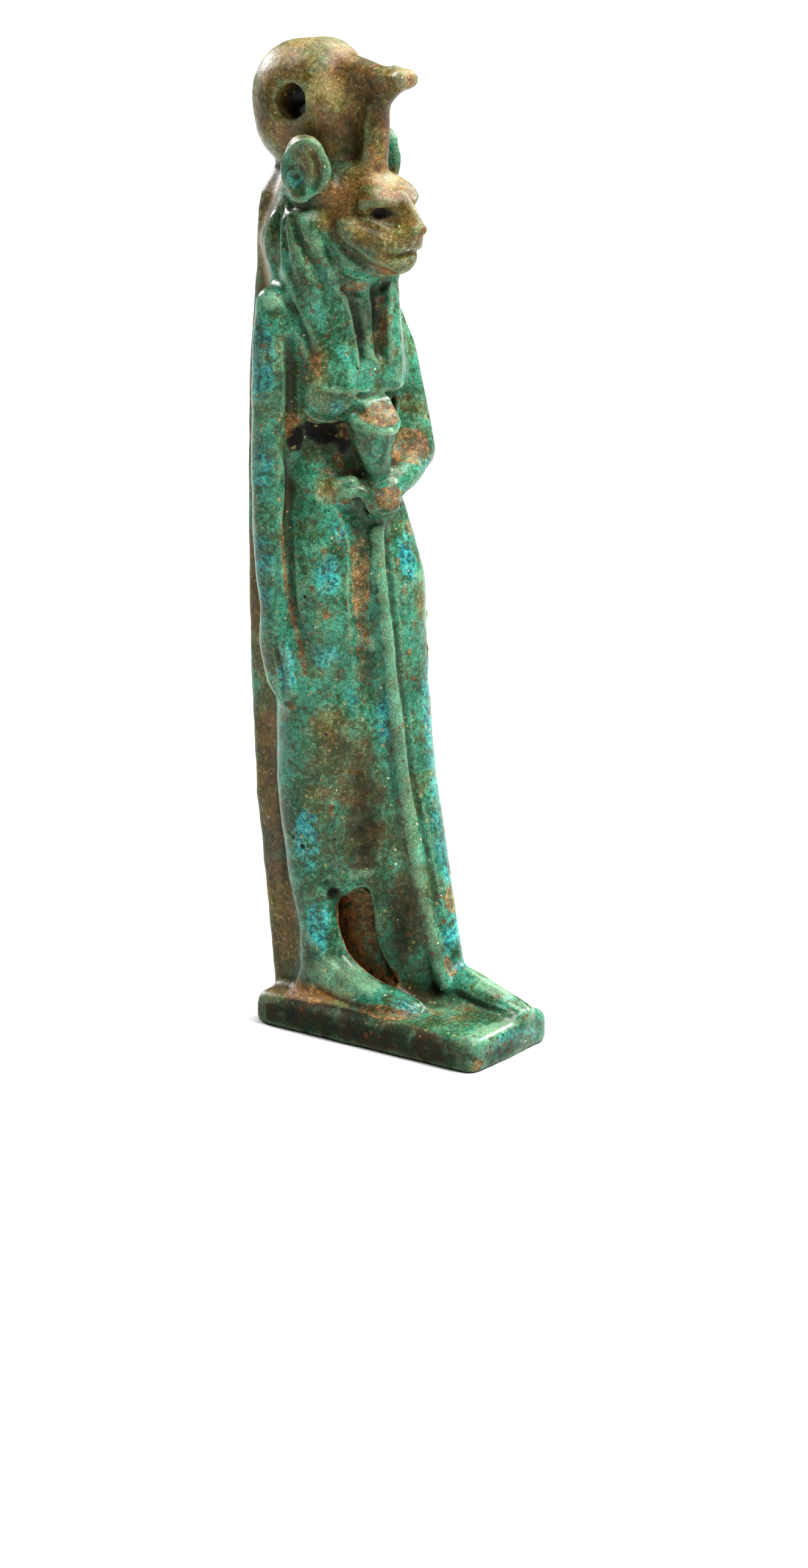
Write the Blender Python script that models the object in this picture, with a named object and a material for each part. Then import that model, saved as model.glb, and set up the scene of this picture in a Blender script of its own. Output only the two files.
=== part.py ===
"""Faience amulet: a striding lioness-headed goddess with sun disc, cobra and papyrus sceptre, standing on her own plinth.

Metres, +Z up. She faces -Y, and +X is her left. The origin is the middle of the plinth's underside.
Figure, back pillar and plinth are one moulded and fired piece, pierced through the disc for a cord.
"""

import bmesh
import bpy
from mathutils import Matrix, Vector

# Sizes that can be set by themselves
FIGURE_HEIGHT = 0.085       # from the soles to the top of the sun disc
PLINTH_LENGTH = 0.0248
PLINTH_SKEW = 0.0013        # how much longer the plinth is at her right side than at her left
PLINTH_WIDTH = 0.0128
PLINTH_HEIGHT = 0.0031
PLINTH_ROUNDING = 0.0011
BORE_DIAMETER = 0.0031      # the cord hole, from side to side through the disc

# The figure's own proportions: places and radii below are in 85ths of its height, as (x, forward, up).
# x runs to her left from her middle, forward from the plinth's back face, and up from her soles.
SHARES = 85
SHARE = FIGURE_HEIGHT / SHARES

GRAIN = 0.36 * SHARE        # the size of the smallest form kept in the moulded surface
BALL_DETAIL = 3
BORE_SIDES = 40
FACES_KEPT = 9200
SOFTENING_PASSES = 3
UNDERCUT = 0.0006           # the clay that is pressed below the plinth and cut away flat

FAIENCE_GREEN = (0.115, 0.33, 0.25, 1.0)


def place(x, forward, up):
    """A point of the figure, in metres."""
    return Vector((x * SHARE, PLINTH_LENGTH / 2 - forward * SHARE, PLINTH_HEIGHT + up * SHARE))


def ball(x, forward, up, wide, deep=None, tall=None):
    """An ellipsoid with its radii across, forward and up; a lone radius makes a sphere."""
    deep = wide if deep is None else deep
    tall = wide if tall is None else tall
    return place(x, forward, up), Vector((wide, deep, tall)) * SHARE


def mirrored(balls):
    """The same ellipsoids on her other side."""
    return [(Vector((-centre.x, centre.y, centre.z)), radii) for centre, radii in balls]


class Clay:
    """Closed convex lumps pressed together in one mesh."""

    def __init__(self):
        self.mesh = bmesh.new()

    def add(self, lump):
        bmesh.ops.recalc_face_normals(lump, faces=lump.faces)
        copy = bpy.data.meshes.new("lump")
        lump.to_mesh(copy)
        lump.free()
        self.mesh.from_mesh(copy)
        bpy.data.meshes.remove(copy)

    def hull(self, *balls):
        """The tight skin round a few ellipsoids."""
        lump = bmesh.new()
        for centre, radii in balls:
            shape = Matrix.Translation(centre) @ Matrix.Diagonal(radii.to_4d())
            bmesh.ops.create_icosphere(lump, subdivisions=BALL_DETAIL, radius=1, matrix=shape)
        skin = bmesh.ops.convex_hull(lump, input=lump.verts[:])
        inside = [v for v in skin["geom_interior"] + skin["geom_unused"] if isinstance(v, bmesh.types.BMVert)]
        bmesh.ops.delete(lump, geom=list(set(inside)), context="VERTS")
        self.add(lump)

    def chain(self, *stations):
        """Skins from each station to the next, along a limb; a station is one ellipsoid or a list of them."""
        lists = [s if isinstance(s, list) else [s] for s in stations]
        for near, far in zip(lists, lists[1:]):
            self.hull(*near, *far)

    def block(self, low, high, rounding):
        """A box between two corners with rounded edges."""
        lump = bmesh.new()
        shape = Matrix.Translation((low + high) / 2) @ Matrix.Diagonal((high - low).to_4d())
        bmesh.ops.create_cube(lump, size=1, matrix=shape)
        bmesh.ops.bevel(lump, geom=lump.edges[:], offset=rounding, segments=3, profile=0.5, affect="EDGES")
        self.add(lump)

    def object(self, name):
        mesh = bpy.data.meshes.new(name)
        self.mesh.to_mesh(mesh)
        self.mesh.free()
        made = bpy.data.objects.new(name, mesh)
        bpy.context.scene.collection.objects.link(made)
        return made


def press_plinth(clay):
    """A slab with rounded edges, whose front was trimmed a little askew."""
    lump = bmesh.new()
    size = Vector((PLINTH_WIDTH, PLINTH_LENGTH, PLINTH_HEIGHT + UNDERCUT))
    shape = Matrix.Translation((0, 0, (PLINTH_HEIGHT - UNDERCUT) / 2)) @ Matrix.Diagonal(size.to_4d())
    bmesh.ops.create_cube(lump, size=1, matrix=shape)
    for corner in lump.verts:
        if corner.co.y < 0:
            corner.co.y += PLINTH_SKEW * corner.co.x / PLINTH_WIDTH
    bmesh.ops.bevel(lump, geom=lump.edges[:], offset=PLINTH_ROUNDING, segments=3, profile=0.5, affect="EDGES")
    clay.add(lump)


def press_back_pillar(clay):
    """A slab that bows back a little and ends in a low gable behind the wig."""
    corner = 0.35
    outline = [(-1.0, 3.3, 0.0), (5, 3.3, -0.7), (17, 3.6, -2.0), (30, 3.8, -2.5), (46, 3.9, -2.7), (58, 3.7, -2.4),
               (71.2, 3.4, -1.6), (74, 1.0, -1.4)]
    front = 4.0

    def section(up, half, back):
        return [ball(side * (half - corner), depth, up, corner)
                for side in (-1, 1) for depth in (back + corner, front)]

    clay.chain(*[section(*row) for row in outline])


def press_legs(clay):
    """The tight dress round both legs, and the ankles below its hem with a wall of clay between them."""
    right = [(44, -2.4, 4.4, 2.7), (41, -2.7, 4.5, 3.0), (37, -3.0, 4.5, 3.1), (28, -3.2, 4.3, 3.0), (20, -3.3, 4.2, 2.9),
             (15, -3.35, 4.5, 2.6), (11, -3.4, 4.9, 2.3)]
    left = [(2.6, 6.6, 2.8), (2.8, 7.4, 2.95), (3.0, 8.5, 3.05), (3.0, 9.1, 2.95), (2.8, 10.4, 2.7),
            (2.8, 11.8, 2.4), (2.9, 12.7, 2.2)]
    clay.chain(*[[ball(rx, rd, up, rr), ball(lx, ld, up, lr)]
                 for (up, rx, rd, rr), (lx, ld, lr) in zip(right, left)])
    clay.chain(ball(-3.4, 4.9, 11.4, 2.3), ball(-3.4, 5.3, 6, 1.75), ball(-3.4, 5.6, 1, 1.75))
    clay.chain([ball(2.9, 12.7, 11, 2.2), ball(-0.4, 8.2, 11, 1.0), ball(0.9, 13.0, 11, 0.8)],
               [ball(3.1, 13.7, 7, 1.9), ball(-0.2, 10.0, 7, 1.0), ball(1.2, 13.9, 7, 0.8)],
               [ball(3.3, 15.0, 0.5, 1.7), ball(0.5, 12.2, 0.3, 1.0), ball(1.8, 15.6, 0.3, 0.8)])
    clay.block(place(-0.4, 12.5, -1), place(1.4, 1.5, 12), 0.3 * SHARE)


def press_feet(clay):
    clay.chain(ball(-3.4, 4.8, 1.0, 1.7, 1.6, 1.6), ball(-3.2, 9, 1.0, 1.9, 2, 1.7), ball(-2.7, 14.8, 0.2, 1.9, 2, 0.9))
    clay.chain(ball(3.2, 13.6, 1.2, 1.7, 1.5, 1.8), ball(3.1, 17, 1.2, 1.8, 2, 1.8), ball(2.7, 22.8, 0.1, 1.9, 1.9, 0.9))


def press_torso(clay):
    clay.chain([ball(-2.4, 4.4, 44, 2.7), ball(2.5, 6.6, 44, 2.8)],
               [ball(-1.8, 4.0, 48.5, 2.3), ball(1.6, 5.0, 48, 2.4)],
               [ball(-3.0, 3.9, 53, 2.5), ball(3.0, 5.2, 54.5, 2.7)],
               [ball(-4.4, 3.4, 60.5, 2.0), ball(4.6, 4.6, 61, 2.0)],
               [ball(-2.6, 3.6, 64, 2.0), ball(2.6, 4.2, 64, 2.0)])
    clay.hull(ball(-4.6, 1.8, 58, 1.2), ball(-4.4, 1.8, 34, 1.2), ball(-2, 2, 58, 2), ball(-2, 2, 34, 2))


def press_right_arm(clay):
    """It hangs straight, with the hand flat on the thigh."""
    clay.chain(ball(-5.9, 2.5, 62.2, 1.7), ball(-6.4, 2.5, 58, 1.65), ball(-6.5, 2.3, 48, 1.55), ball(-6.4, 2.4, 40, 1.5),
               ball(-6.2, 2.7, 35.6, 1.25, 1.35, 1.3), ball(-6.0, 3.1, 32, 1.2, 2.2, 1.4), ball(-5.9, 3.6, 29, 1.1, 2.0, 1.2),
               ball(-5.7, 4.6, 26.6, 0.8, 0.9, 0.9))
    clay.hull(ball(-5.8, 2.2, 59, 1.0), ball(-5.6, 2.0, 36, 1.0), ball(-4.2, 2.0, 59, 1.0), ball(-4.2, 2.0, 36, 1.2))
    clay.hull(ball(-5.4, 2.8, 34, 1.0), ball(-5.0, 3.8, 28, 0.9), ball(-4.0, 3.0, 34, 1.0), ball(-4.0, 3.4, 28, 1.0))


def press_left_arm(clay):
    """It bends at the elbow and closes round the sceptre's stem."""
    clay.chain(ball(5.9, 3.8, 62.2, 1.8), ball(6.5, 6.3, 57, 1.75), ball(6.2, 8.8, 48.4, 1.75, 1.75, 1.6),
               ball(3.2, 9.6, 46.7, 1.4), ball(1.2, 9.6, 45.8, 1.3))
    clay.hull(ball(5.0, 4.0, 58, 1.8), ball(5.0, 6.9, 49.4, 1.6), ball(3.0, 7.0, 47.4, 1.6), ball(3.0, 5.6, 58, 1.6),
              ball(3.2, 7.2, 52, 1.2))
    clay.chain(ball(0.3, 9.8, 44.9, 1.55), ball(-0.5, 9.6, 44.9, 1.45))
    clay.chain(ball(-2.6, 7.2, 45.9, 0.9, 1.0, 0.8), ball(-2.2, 8.0, 45.9, 1.0, 1.0, 0.8), ball(0, 8.8, 45.7, 1.1, 1.2, 0.9))
    clay.chain(ball(-1.6, 7.0, 44.4, 0.5), ball(-1.0, 7.2, 41.5, 0.4))


def press_sceptre(clay):
    """A papyrus stem from the front foot to the hand, and its open umbel above."""
    clay.chain([ball(0.3, 9.4, 44.8, 0.9), ball(0.4, 7, 45, 0.8)], [ball(-0.1, 9.3, 41, 0.7), ball(0.4, 7, 38, 0.8)],
               [ball(0.1, 10.6, 30, 0.7), ball(0.8, 8, 30, 0.8)], [ball(0.5, 12.0, 20, 0.7), ball(1.4, 9.6, 20, 0.8)],
               [ball(0.9, 13.3, 12, 0.7), ball(1.8, 11, 12, 0.8)], [ball(1.4, 15.0, 4, 0.7), ball(2.2, 13, 4, 0.8)],
               [ball(1.6, 15.9, 0.2, 0.8), ball(2.2, 13, 0.2, 0.8)])
    rim, foot = 2.4, 0.9
    lip = 0.3
    top = [ball(0.2 + side * (rim - lip) * across, 8.6 + (rim - lip) * deep, 52.3, lip)
           for side in (-1, 1) for across, deep in ((1, 0), (0.71, 0.71), (0.71, -0.71), (0, side))]
    clay.hull(*top, ball(0.4, 8.6, 47.2, foot))
    clay.hull(ball(0.3, 9.0, 48, foot), ball(0.5, 6, 48, foot), ball(0.5, 6, 52, 1.6, 1.6, 0.5))


def press_wig(clay):
    """Hair close round the head, with a lappet before each shoulder that ends in one ledge on the chest."""
    clay.chain(ball(0, 4.0, 72.2, 4.4, 4.2, 2.4), ball(0, 2.8, 67.5, 6.0, 4.7, 3.4), ball(0, 3.2, 63, 5.4, 4.0, 2.4))
    clay.hull(ball(0, 7.2, 65.4, 3.0, 2.2, 1.6), ball(0, 4, 66, 5.2, 3.8, 3))
    clay.chain([ball(-4.8, 4.6, 69, 1.5, 2.0, 2.0), ball(-4.0, 6.0, 69, 1.2)],
               [ball(-5.0, 4.6, 65, 1.5), ball(-4.0, 6.2, 65, 1.2)],
               [ball(-4.6, 5.2, 60, 1.3), ball(-2.9, 7.0, 60, 1.2)],
               [ball(-4.2, 6.2, 54.3, 1.5), ball(-2.6, 7.6, 54.3, 1.3)],
               [ball(-4.0, 6.2, 53.4, 1.4, 1.4, 1.0), ball(-2.6, 7.4, 53.6, 1.2, 1.3, 1.0)])
    clay.chain([ball(4.8, 4.6, 69, 1.5, 2.0, 2.0), ball(4.0, 6.0, 69, 1.2)],
               [ball(5.0, 4.8, 65, 1.5), ball(3.6, 7.0, 65, 1.2)],
               [ball(4.6, 6.0, 61, 1.4), ball(2.9, 8.0, 61, 1.2)],
               [ball(4.0, 7.6, 55.8, 1.4), ball(2.8, 8.5, 55.8, 1.25)],
               [ball(3.8, 7.4, 55.0, 1.3, 1.4, 1.0), ball(2.7, 8.3, 55.0, 1.2, 1.3, 1.0)])
    clay.chain([ball(-2.0, 6.6, 64, 1.3), ball(1.8, 7.0, 64, 1.3)], [ball(-2.0, 6.3, 60, 1.3), ball(1.8, 7.1, 60, 1.3)],
               [ball(-1.8, 7.0, 54.1, 1.2), ball(1.8, 7.8, 55.2, 1.2)])
    clay.chain(ball(-0.2, 7.3, 63, 0.45, 1.1, 0.5), ball(-0.2, 7.6, 58, 0.45, 1.0, 0.5), ball(-0.2, 7.6, 55.4, 0.5, 1.0, 0.5))


def press_head(clay):
    """A lioness: a sloping forehead, broad brow, short square muzzle and full cheeks."""
    clay.hull(ball(0, 5.6, 71.6, 4.2, 4.4, 3.2), ball(0, 7.8, 71.0, 3.8, 3.0, 2.6), ball(0, 7.6, 68.4, 4.1, 3.6, 3.0))
    brow = [ball(side * 2.3, 10.5, 71.8, 1.0, 1.2, 0.8) for side in (-1, 1)]
    clay.hull(*brow, ball(0, 7.4, 73.2, 2.4, 1.6, 1.4), ball(0, 9, 69, 3.2, 2.4, 2.4))
    lips = [ball(side * 1.2, 11.8, 67.7, 1.25, 1.3, 1.2) for side in (-1, 1)]
    cheeks = [ball(side * 2.6, 8.6, 68.4, 2.0, 2.2, 2.4) for side in (-1, 1)]
    clay.hull(*cheeks, *lips)
    nose = ball(0, 13.4, 69.0, 0.8, 0.9, 0.65)
    clay.hull(*lips, nose)
    clay.chain(ball(0, 10.6, 71.6, 1.2, 1.2, 0.9), ball(0, 12.2, 70.3, 0.95, 1.0, 0.8), nose)
    chin = ball(0, 11.6, 65.9, 1.6, 1.2, 1.0)
    jaws = [ball(side * 2.2, 8.4, 66.6, 1.9, 2.0, 1.8) for side in (-1, 1)]
    clay.hull(chin, *lips, *jaws)
    clay.hull(chin, *jaws, ball(0, 8.2, 65.4, 2.6, 1.6, 1.2))


def press_ears(clay):
    ear = [ball(-4.9, 5.2, 73.2, 0.9, 2.7, 1.8), ball(-5.0, 5.3, 75.2, 0.9, 2.3, 2.0), ball(-3.8, 5.0, 72.4, 1.0, 1.8, 1.4)]
    clay.hull(*ear)
    clay.hull(*mirrored(ear))


def press_disc_and_cobra(clay):
    clay.hull(ball(0, 0.7, 79.6, 4.7, 4.1, 5.0), ball(0, 3.4, 79.8, 4.6, 3.6, 5.1), ball(0, 0.5, 77.7, 4.3, 3.7, 4.2))
    clay.hull(ball(0, 3, 74.5, 3.0, 3.6, 2), ball(0, 3, 77, 3.0, 3.6, 2))
    clay.chain(ball(0, 8.6, 73.6, 1.5, 1.3, 1.2), ball(0, 9.1, 76.5, 1.4, 1.0, 1.4), ball(0, 9.2, 79.4, 1.3, 1.0, 1.0),
               ball(0, 10.4, 80.9, 1.1, 1.1, 1.0), ball(0, 12.0, 81.8, 0.95, 1.0, 1.05))
    clay.chain(ball(0, 6.4, 81.6, 1.8, 1.9, 1.9), ball(0, 9.4, 81.5, 1.3, 1.2, 1.3), ball(0, 12.0, 81.8, 0.95, 1.0, 1.05))
    clay.hull(ball(0, 6.5, 75.5, 0.9, 1.5, 1.5), ball(0, 7.5, 80, 0.9, 1.5, 1.5))


def carve_hollows(clay):
    """What the modeller's tool took away."""
    for side in (1, -1):
        clay.hull(ball(3.5 * side, 10.9, 70.4, 0.5), ball(1.5 * side, 12.4, 70.4, 0.5, 0.6, 0.4),
                  ball(1.5 * side, 12.9, 69.3, 0.4, 0.5, 0.4), ball(2.9 * side, 10.9, 69.9, 0.5))
        clay.hull(ball(5.6 * side, 7.4, 75.2, 0.6, 0.7, 1.2), ball(5.6 * side, 7.4, 73.4, 0.6, 0.7, 0.8))
        clay.hull(ball(1.8 * side, 7.7, 78.6, 0.5, 0.5, 0.5), ball(1.9 * side, 7.9, 75.6, 0.5, 0.5, 0.5))


def cord_hole():
    """The cutter of the hole, which leaves the disc at both sides."""
    tool = bmesh.new()
    centre = place(0, 3.0, 79.6)
    shape = Matrix.Translation(centre) @ Matrix.Rotation(1.5707963, 4, "Y")
    bmesh.ops.create_cone(tool, cap_ends=True, segments=BORE_SIDES, radius1=BORE_DIAMETER / 2,
                          radius2=BORE_DIAMETER / 2, depth=14 * SHARE, matrix=shape)
    mesh = bpy.data.meshes.new("cord_hole")
    tool.to_mesh(mesh)
    tool.free()
    return as_cutter(bpy.data.objects.new("cord_hole", mesh))


def floor_cutter():
    """Takes off the clay below the plinth's underside."""
    tool = bmesh.new()
    deep = 4 * UNDERCUT
    size = Vector((PLINTH_WIDTH * 2, PLINTH_LENGTH * 2, deep))
    shape = Matrix.Translation((0, 0, -deep / 2)) @ Matrix.Diagonal(size.to_4d())
    bmesh.ops.create_cube(tool, size=1, matrix=shape)
    mesh = bpy.data.meshes.new("floor_cutter")
    tool.to_mesh(mesh)
    tool.free()
    return as_cutter(bpy.data.objects.new("floor_cutter", mesh))


def as_cutter(tool):
    if tool.name not in bpy.context.scene.collection.objects:
        bpy.context.scene.collection.objects.link(tool)
    tool.hide_render = True
    tool.display_type = "WIRE"
    return tool


def cut(piece, tool):
    trim = piece.modifiers.new(tool.name, "BOOLEAN")
    trim.operation = "DIFFERENCE"
    trim.object = tool


def fuse(piece):
    """Makes one skin of the overlapping lumps."""
    skin = piece.modifiers.new("fuse", "REMESH")
    skin.mode = "VOXEL"
    skin.voxel_size = GRAIN
    skin.use_smooth_shade = True


def soften(piece, passes):
    glaze = piece.modifiers.new("soften", "SMOOTH")
    glaze.factor = 0.5
    glaze.iterations = passes


def thin_out(piece, faces):
    """Leaves the given number of triangles, with the most where the form turns most."""
    evaluated = piece.evaluated_get(bpy.context.evaluated_depsgraph_get())
    triangles = sum(len(p.vertices) - 2 for p in evaluated.data.polygons)
    coarse = piece.modifiers.new("thin_out", "DECIMATE")
    coarse.ratio = faces / triangles


def faience():
    material = bpy.data.materials.new("faience")
    material.use_nodes = True
    shader = material.node_tree.nodes["Principled BSDF"]
    shader.inputs["Base Color"].default_value = FAIENCE_GREEN
    shader.inputs["Roughness"].default_value = 0.38
    shader.inputs["Metallic"].default_value = 0.0
    return material


def main():
    for old in list(bpy.data.objects):
        bpy.data.objects.remove(old)
    clay = Clay()
    for press in (press_plinth, press_back_pillar, press_legs, press_feet, press_torso, press_right_arm, press_left_arm,
                  press_sceptre, press_wig, press_head, press_ears, press_disc_and_cobra):
        press(clay)
    amulet = clay.object("amulet")
    amulet.data.materials.append(faience())
    hollows = Clay()
    carve_hollows(hollows)
    fuse(amulet)
    cut(amulet, as_cutter(hollows.object("hollows")))
    fuse(amulet)
    soften(amulet, SOFTENING_PASSES)
    thin_out(amulet, FACES_KEPT)
    cut(amulet, cord_hole())
    cut(amulet, floor_cutter())


main()
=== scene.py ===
"""The faience amulet as it looks: the moulded figure with its finer relief under a mottled, worn glaze.

Metres, +Z up. She faces -Y, and +X is her left. Places on the figure are written as (x, forward, up) in
millimetres: x to her left from her middle, forward from the plinth's back face, and up from her soles.
"""

import math

import bpy
import numpy as np
from mathutils import Matrix, Vector, noise
from mathutils.bvhtree import BVHTree
from mathutils.kdtree import KDTree


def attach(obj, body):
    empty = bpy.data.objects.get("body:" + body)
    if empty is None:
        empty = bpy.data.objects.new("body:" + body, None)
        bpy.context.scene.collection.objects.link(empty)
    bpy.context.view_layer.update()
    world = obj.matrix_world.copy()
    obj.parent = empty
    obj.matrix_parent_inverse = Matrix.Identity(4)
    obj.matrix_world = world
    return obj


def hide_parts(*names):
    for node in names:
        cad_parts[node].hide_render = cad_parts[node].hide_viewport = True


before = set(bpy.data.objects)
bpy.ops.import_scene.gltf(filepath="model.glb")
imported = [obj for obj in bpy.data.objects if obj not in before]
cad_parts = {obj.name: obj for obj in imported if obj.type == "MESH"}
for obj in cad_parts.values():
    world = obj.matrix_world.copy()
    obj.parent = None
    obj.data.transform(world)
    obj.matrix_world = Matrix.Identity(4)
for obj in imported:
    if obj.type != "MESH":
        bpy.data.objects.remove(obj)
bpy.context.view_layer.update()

MM = 0.001
PLINTH_BACK = 12.4
PLINTH_TOP = 3.1

# The figure's surface, in millimetres and passes
ROUGH_GRAIN = 0.26
CLAY_GRAIN = 0.17
WELD = 0.001
SMOOTHING = (0.5, -0.52)
MELTING = 0.6
MOULDED_PASSES = 10
WORKED_PASSES = 9
RIPPLES = ((3.2, 0.09, 1), (1.1, 0.035, 2))
MOST_TRIANGLES = 192000

# A stroke: the step along its path, how alike the skin has to face, and how many points are measured at once
PATH_STEP = 0.25
SAME_SIDE = 0.1
ROWS_AT_ONCE = 4000


def place(x, forward, up):
    """A point of the figure, in metres."""
    return Vector((x, PLINTH_BACK - forward, PLINTH_TOP + up)) * MM


def pick(*objects):
    """Selects these objects alone and makes the first the active one."""
    bpy.ops.object.select_all(action="DESELECT")
    for thing in objects:
        thing.select_set(True)
    bpy.context.view_layer.objects.active = objects[0]


def apply(piece, kind, **settings):
    """Adds a modifier with these settings and applies it."""
    pick(piece)
    modifier = piece.modifiers.new(kind.lower(), kind)
    for name, value in settings.items():
        setattr(modifier, name, value)
    bpy.ops.object.modifier_apply(modifier=modifier.name)


def spot(x, forward, up):
    """The same place as numbers in millimetres, for work on the skin."""
    return np.array((x, PLINTH_BACK - forward, PLINTH_TOP + up))


# ---- The clay: lumps pressed on and hollows cut out

def lump(*balls):
    """The tight skin round balls of clay: each is (x, forward, up) and its radius or its three radii."""
    made = []
    for x, forward, up, *radii in balls:
        bpy.ops.object.select_all(action="DESELECT")
        bpy.ops.mesh.primitive_ico_sphere_add(subdivisions=3, radius=1, location=place(x, forward, up))
        bpy.context.object.scale = Vector(radii if len(radii) == 3 else radii * 3) * MM
        made.append(bpy.context.object)
    pick(*made)
    if len(made) > 1:
        bpy.ops.object.join()
    bpy.ops.object.transform_apply()
    bpy.ops.object.mode_set(mode="EDIT")
    bpy.ops.mesh.select_all(action="SELECT")
    bpy.ops.mesh.convex_hull()
    bpy.ops.object.mode_set(mode="OBJECT")
    return bpy.context.object


def across(balls):
    """The same balls on her other side."""
    return [(-x, *rest) for x, *rest in balls]


def moulded_figure():
    """A closed copy of the solid figure, to be worked finer."""
    solid = bpy.data.objects["amulet"]
    piece = bpy.data.objects.new("glazed_amulet", solid.data.copy())
    bpy.context.scene.collection.objects.link(piece)
    pick(piece)
    bpy.ops.object.mode_set(mode="EDIT")
    bpy.ops.mesh.select_all(action="SELECT")
    bpy.ops.mesh.remove_doubles(threshold=WELD * MM)
    bpy.ops.object.mode_set(mode="OBJECT")
    piece.hide_render = False
    return piece


def press_on(piece, lumps):
    """Joins lumps to the piece; the next remesh makes them one."""
    pick(piece, *lumps)
    bpy.ops.object.join()


def cut_out(piece, tool):
    apply(piece, "BOOLEAN", operation="DIFFERENCE", solver="MANIFOLD", object=tool)
    bpy.data.objects.remove(tool)


EAR = [(-5.1, 6.0, 75.7, 0.55, 1.1, 0.9), (-5.4, 4.5, 74.3, 0.55, 1.5, 1.7), (-4.7, 7.0, 73.8, 0.5, 0.9, 1.6),
       (-5.4, 5.1, 71.9, 0.5, 1.3, 1.1)]
EYE = [(-3.5, 10.9, 70.8, 0.3), (-1.3, 12.8, 70.75, 0.34), (-1.3, 13.2, 69.55, 0.27), (-2.6, 11.6, 69.95, 0.28),
       (-2.2, 11.2, 70.4, 0.55)]
BROW = [(-3.3, 10.2, 71.2, 0.45), (-2.2, 11.3, 71.5, 0.5), (-1.1, 12.1, 71.1, 0.45), (0, 11.6, 71.8, 0.6)]
LIP = [(-0.95, 12.2, 67.7, 1.05, 1.0, 0.8), (-2.0, 11.0, 68.0, 1.0, 1.1, 0.9), (-0.6, 12.0, 67.2, 0.8, 0.9, 0.5)]


def shape_head():
    """Ears, brows and lips on both sides, then the cobra's head, and the ridge, tip and chin of her face."""
    pairs = [lump(*side) for balls in (EAR, BROW, LIP) for side in (balls, across(balls))]
    bridge = (0, 13.1, 70.3, 0.6)
    return pairs + [
        lump((-0.35, 12.2, 81.75, 0.92), (0.35, 12.2, 81.75, 0.92)),
        lump((0, 12.0, 71.4, 0.75), bridge),
        lump(bridge, (0, 13.7, 69.2, 0.65)),
        lump((0.5, 13.7, 69.0, 0.5, 0.6, 0.5), (-0.5, 13.7, 69.0, 0.5, 0.6, 0.5), (0, 13.6, 68.5, 0.4)),
        lump((0, 12.0, 65.9, 1.2, 0.85, 0.7), (-1.4, 10.8, 66.2, 0.9), (1.4, 10.8, 66.2, 0.9))]


def shape_hands():
    """The fingertips and knuckles of her left fist, and the fingers of her right hand."""
    return [lump((-2.7, 7.0, 46.3, 0.8, 0.8, 0.75), (-1.9, 7.8, 46.5, 0.85, 0.9, 0.8)),
            lump((0, 10.2, 45.0, 1.35, 1.25, 1.25), (0.7, 10.2, 46.0, 0.9, 0.8, 0.9)),
            lump((-6.6, 4.3, 32.0, 0.5, 0.6, 0.5), (-6.3, 4.7, 28.0, 0.5, 0.6, 0.8), (-6.0, 4.4, 26.6, 0.5))]


def shape_umbel():
    """The open papyrus head, with its rim a little turned out."""
    rim = [(-0.25 + 2.3 * math.cos(turn), 8.7 + 2.15 * math.sin(turn), 52.3 - 0.95 * math.sin(turn), 0.3)
           for turn in np.linspace(0, 2 * math.pi, 13)[:-1].tolist()]
    low = [(-0.1 + 1.6 * math.cos(turn), 8.8 + 1.5 * math.sin(turn), 49.7 - 0.3 * math.sin(turn), 0.3)
           for turn in np.linspace(0, 2 * math.pi, 9)[:-1].tolist()]
    bank = [(x, forward, up, 0.35) for x in (-1.6, 1.5) for forward, up in ((9.0, 53.7), (10.3, 51.7), (8.4, 52.4))]
    return [lump(*rim, *low), lump(*low, (0.3, 9.2, 47.0, 0.75)), lump(*bank)]


def shape_instep():
    """The front of her right ankle, which sweeps down into the foot."""
    rows = [(-3.4, 6.1, 8.9, 0.6), (-3.2, 6.2, 7.0, 0.7), (-2.95, 6.5, 5.3, 0.75), (-2.8, 7.2, 3.6, 0.75),
            (-2.6, 8.4, 2.5, 0.7), (-2.1, 10.2, 1.4, 0.6), (-1.7, 11.9, 0.7, 0.5)]
    return [lump(near, far, (-3.6, near[1] - 0.6, near[2] - 0.4, 0.6),
                 (-3.6, far[1] - 0.6, max(far[2] - 0.6, 0), 0.6)) for near, far in zip(rows, rows[1:])]


def hollow_tools():
    """What is cut out: the eyes, the sides of the hood, and the gaps round umbel, palm, shin and foot."""
    above_umbel = [(x, forward, up, 0.3) for x in (-1.9, 1.6)
                   for forward, up in ((9.6, 54.0), (11.2, 52.1), (11.2, 53.9))]
    heart = [(3.5, 7.5, 52.7, 0.55), (3.9, 8.0, 53.2, 0.4), (3.2, 8.0, 51.2, 0.5)]
    palm = [(-1.9, 8.6, 45.0, 0.5), (-2.3, 7.9, 44.0, 0.4), (-1.3, 9.1, 44.2, 0.4)]
    hood = [(-1.95, 7.2, 78.7, 0.4), (-1.75, 7.5, 76.8, 0.5), (-1.8, 7.7, 75.4, 0.45)]
    shin = [(-2.3, 7.6, 9.9, 0.55), (-2.0, 9.5, 9.8, 0.5), (-2.0, 7.0, 7.4, 0.5), (-1.6, 7.3, 5.2, 0.5),
            (-1.4, 8.2, 3.6, 0.5), (-1.1, 10.0, 2.2, 0.4), (-0.5, 9.6, 4.6, 0.35), (-0.4, 8.6, 8.8, 0.35),
            (-1.2, 6.2, 6.6, 0.5)]
    toe = [(-1.0, 9.6, 2.4, 0.4), (-0.9, 11.8, 1.1, 0.3), (-0.4, 11.8, 1.6, 0.3), (-0.6, 10.0, 4.0, 0.35)]
    sides = [balls for pair in (EYE, hood) for balls in (pair, across(pair))]
    return [lump(*balls) for balls in sides + [above_umbel, heart, palm, shin, toe]]


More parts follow.
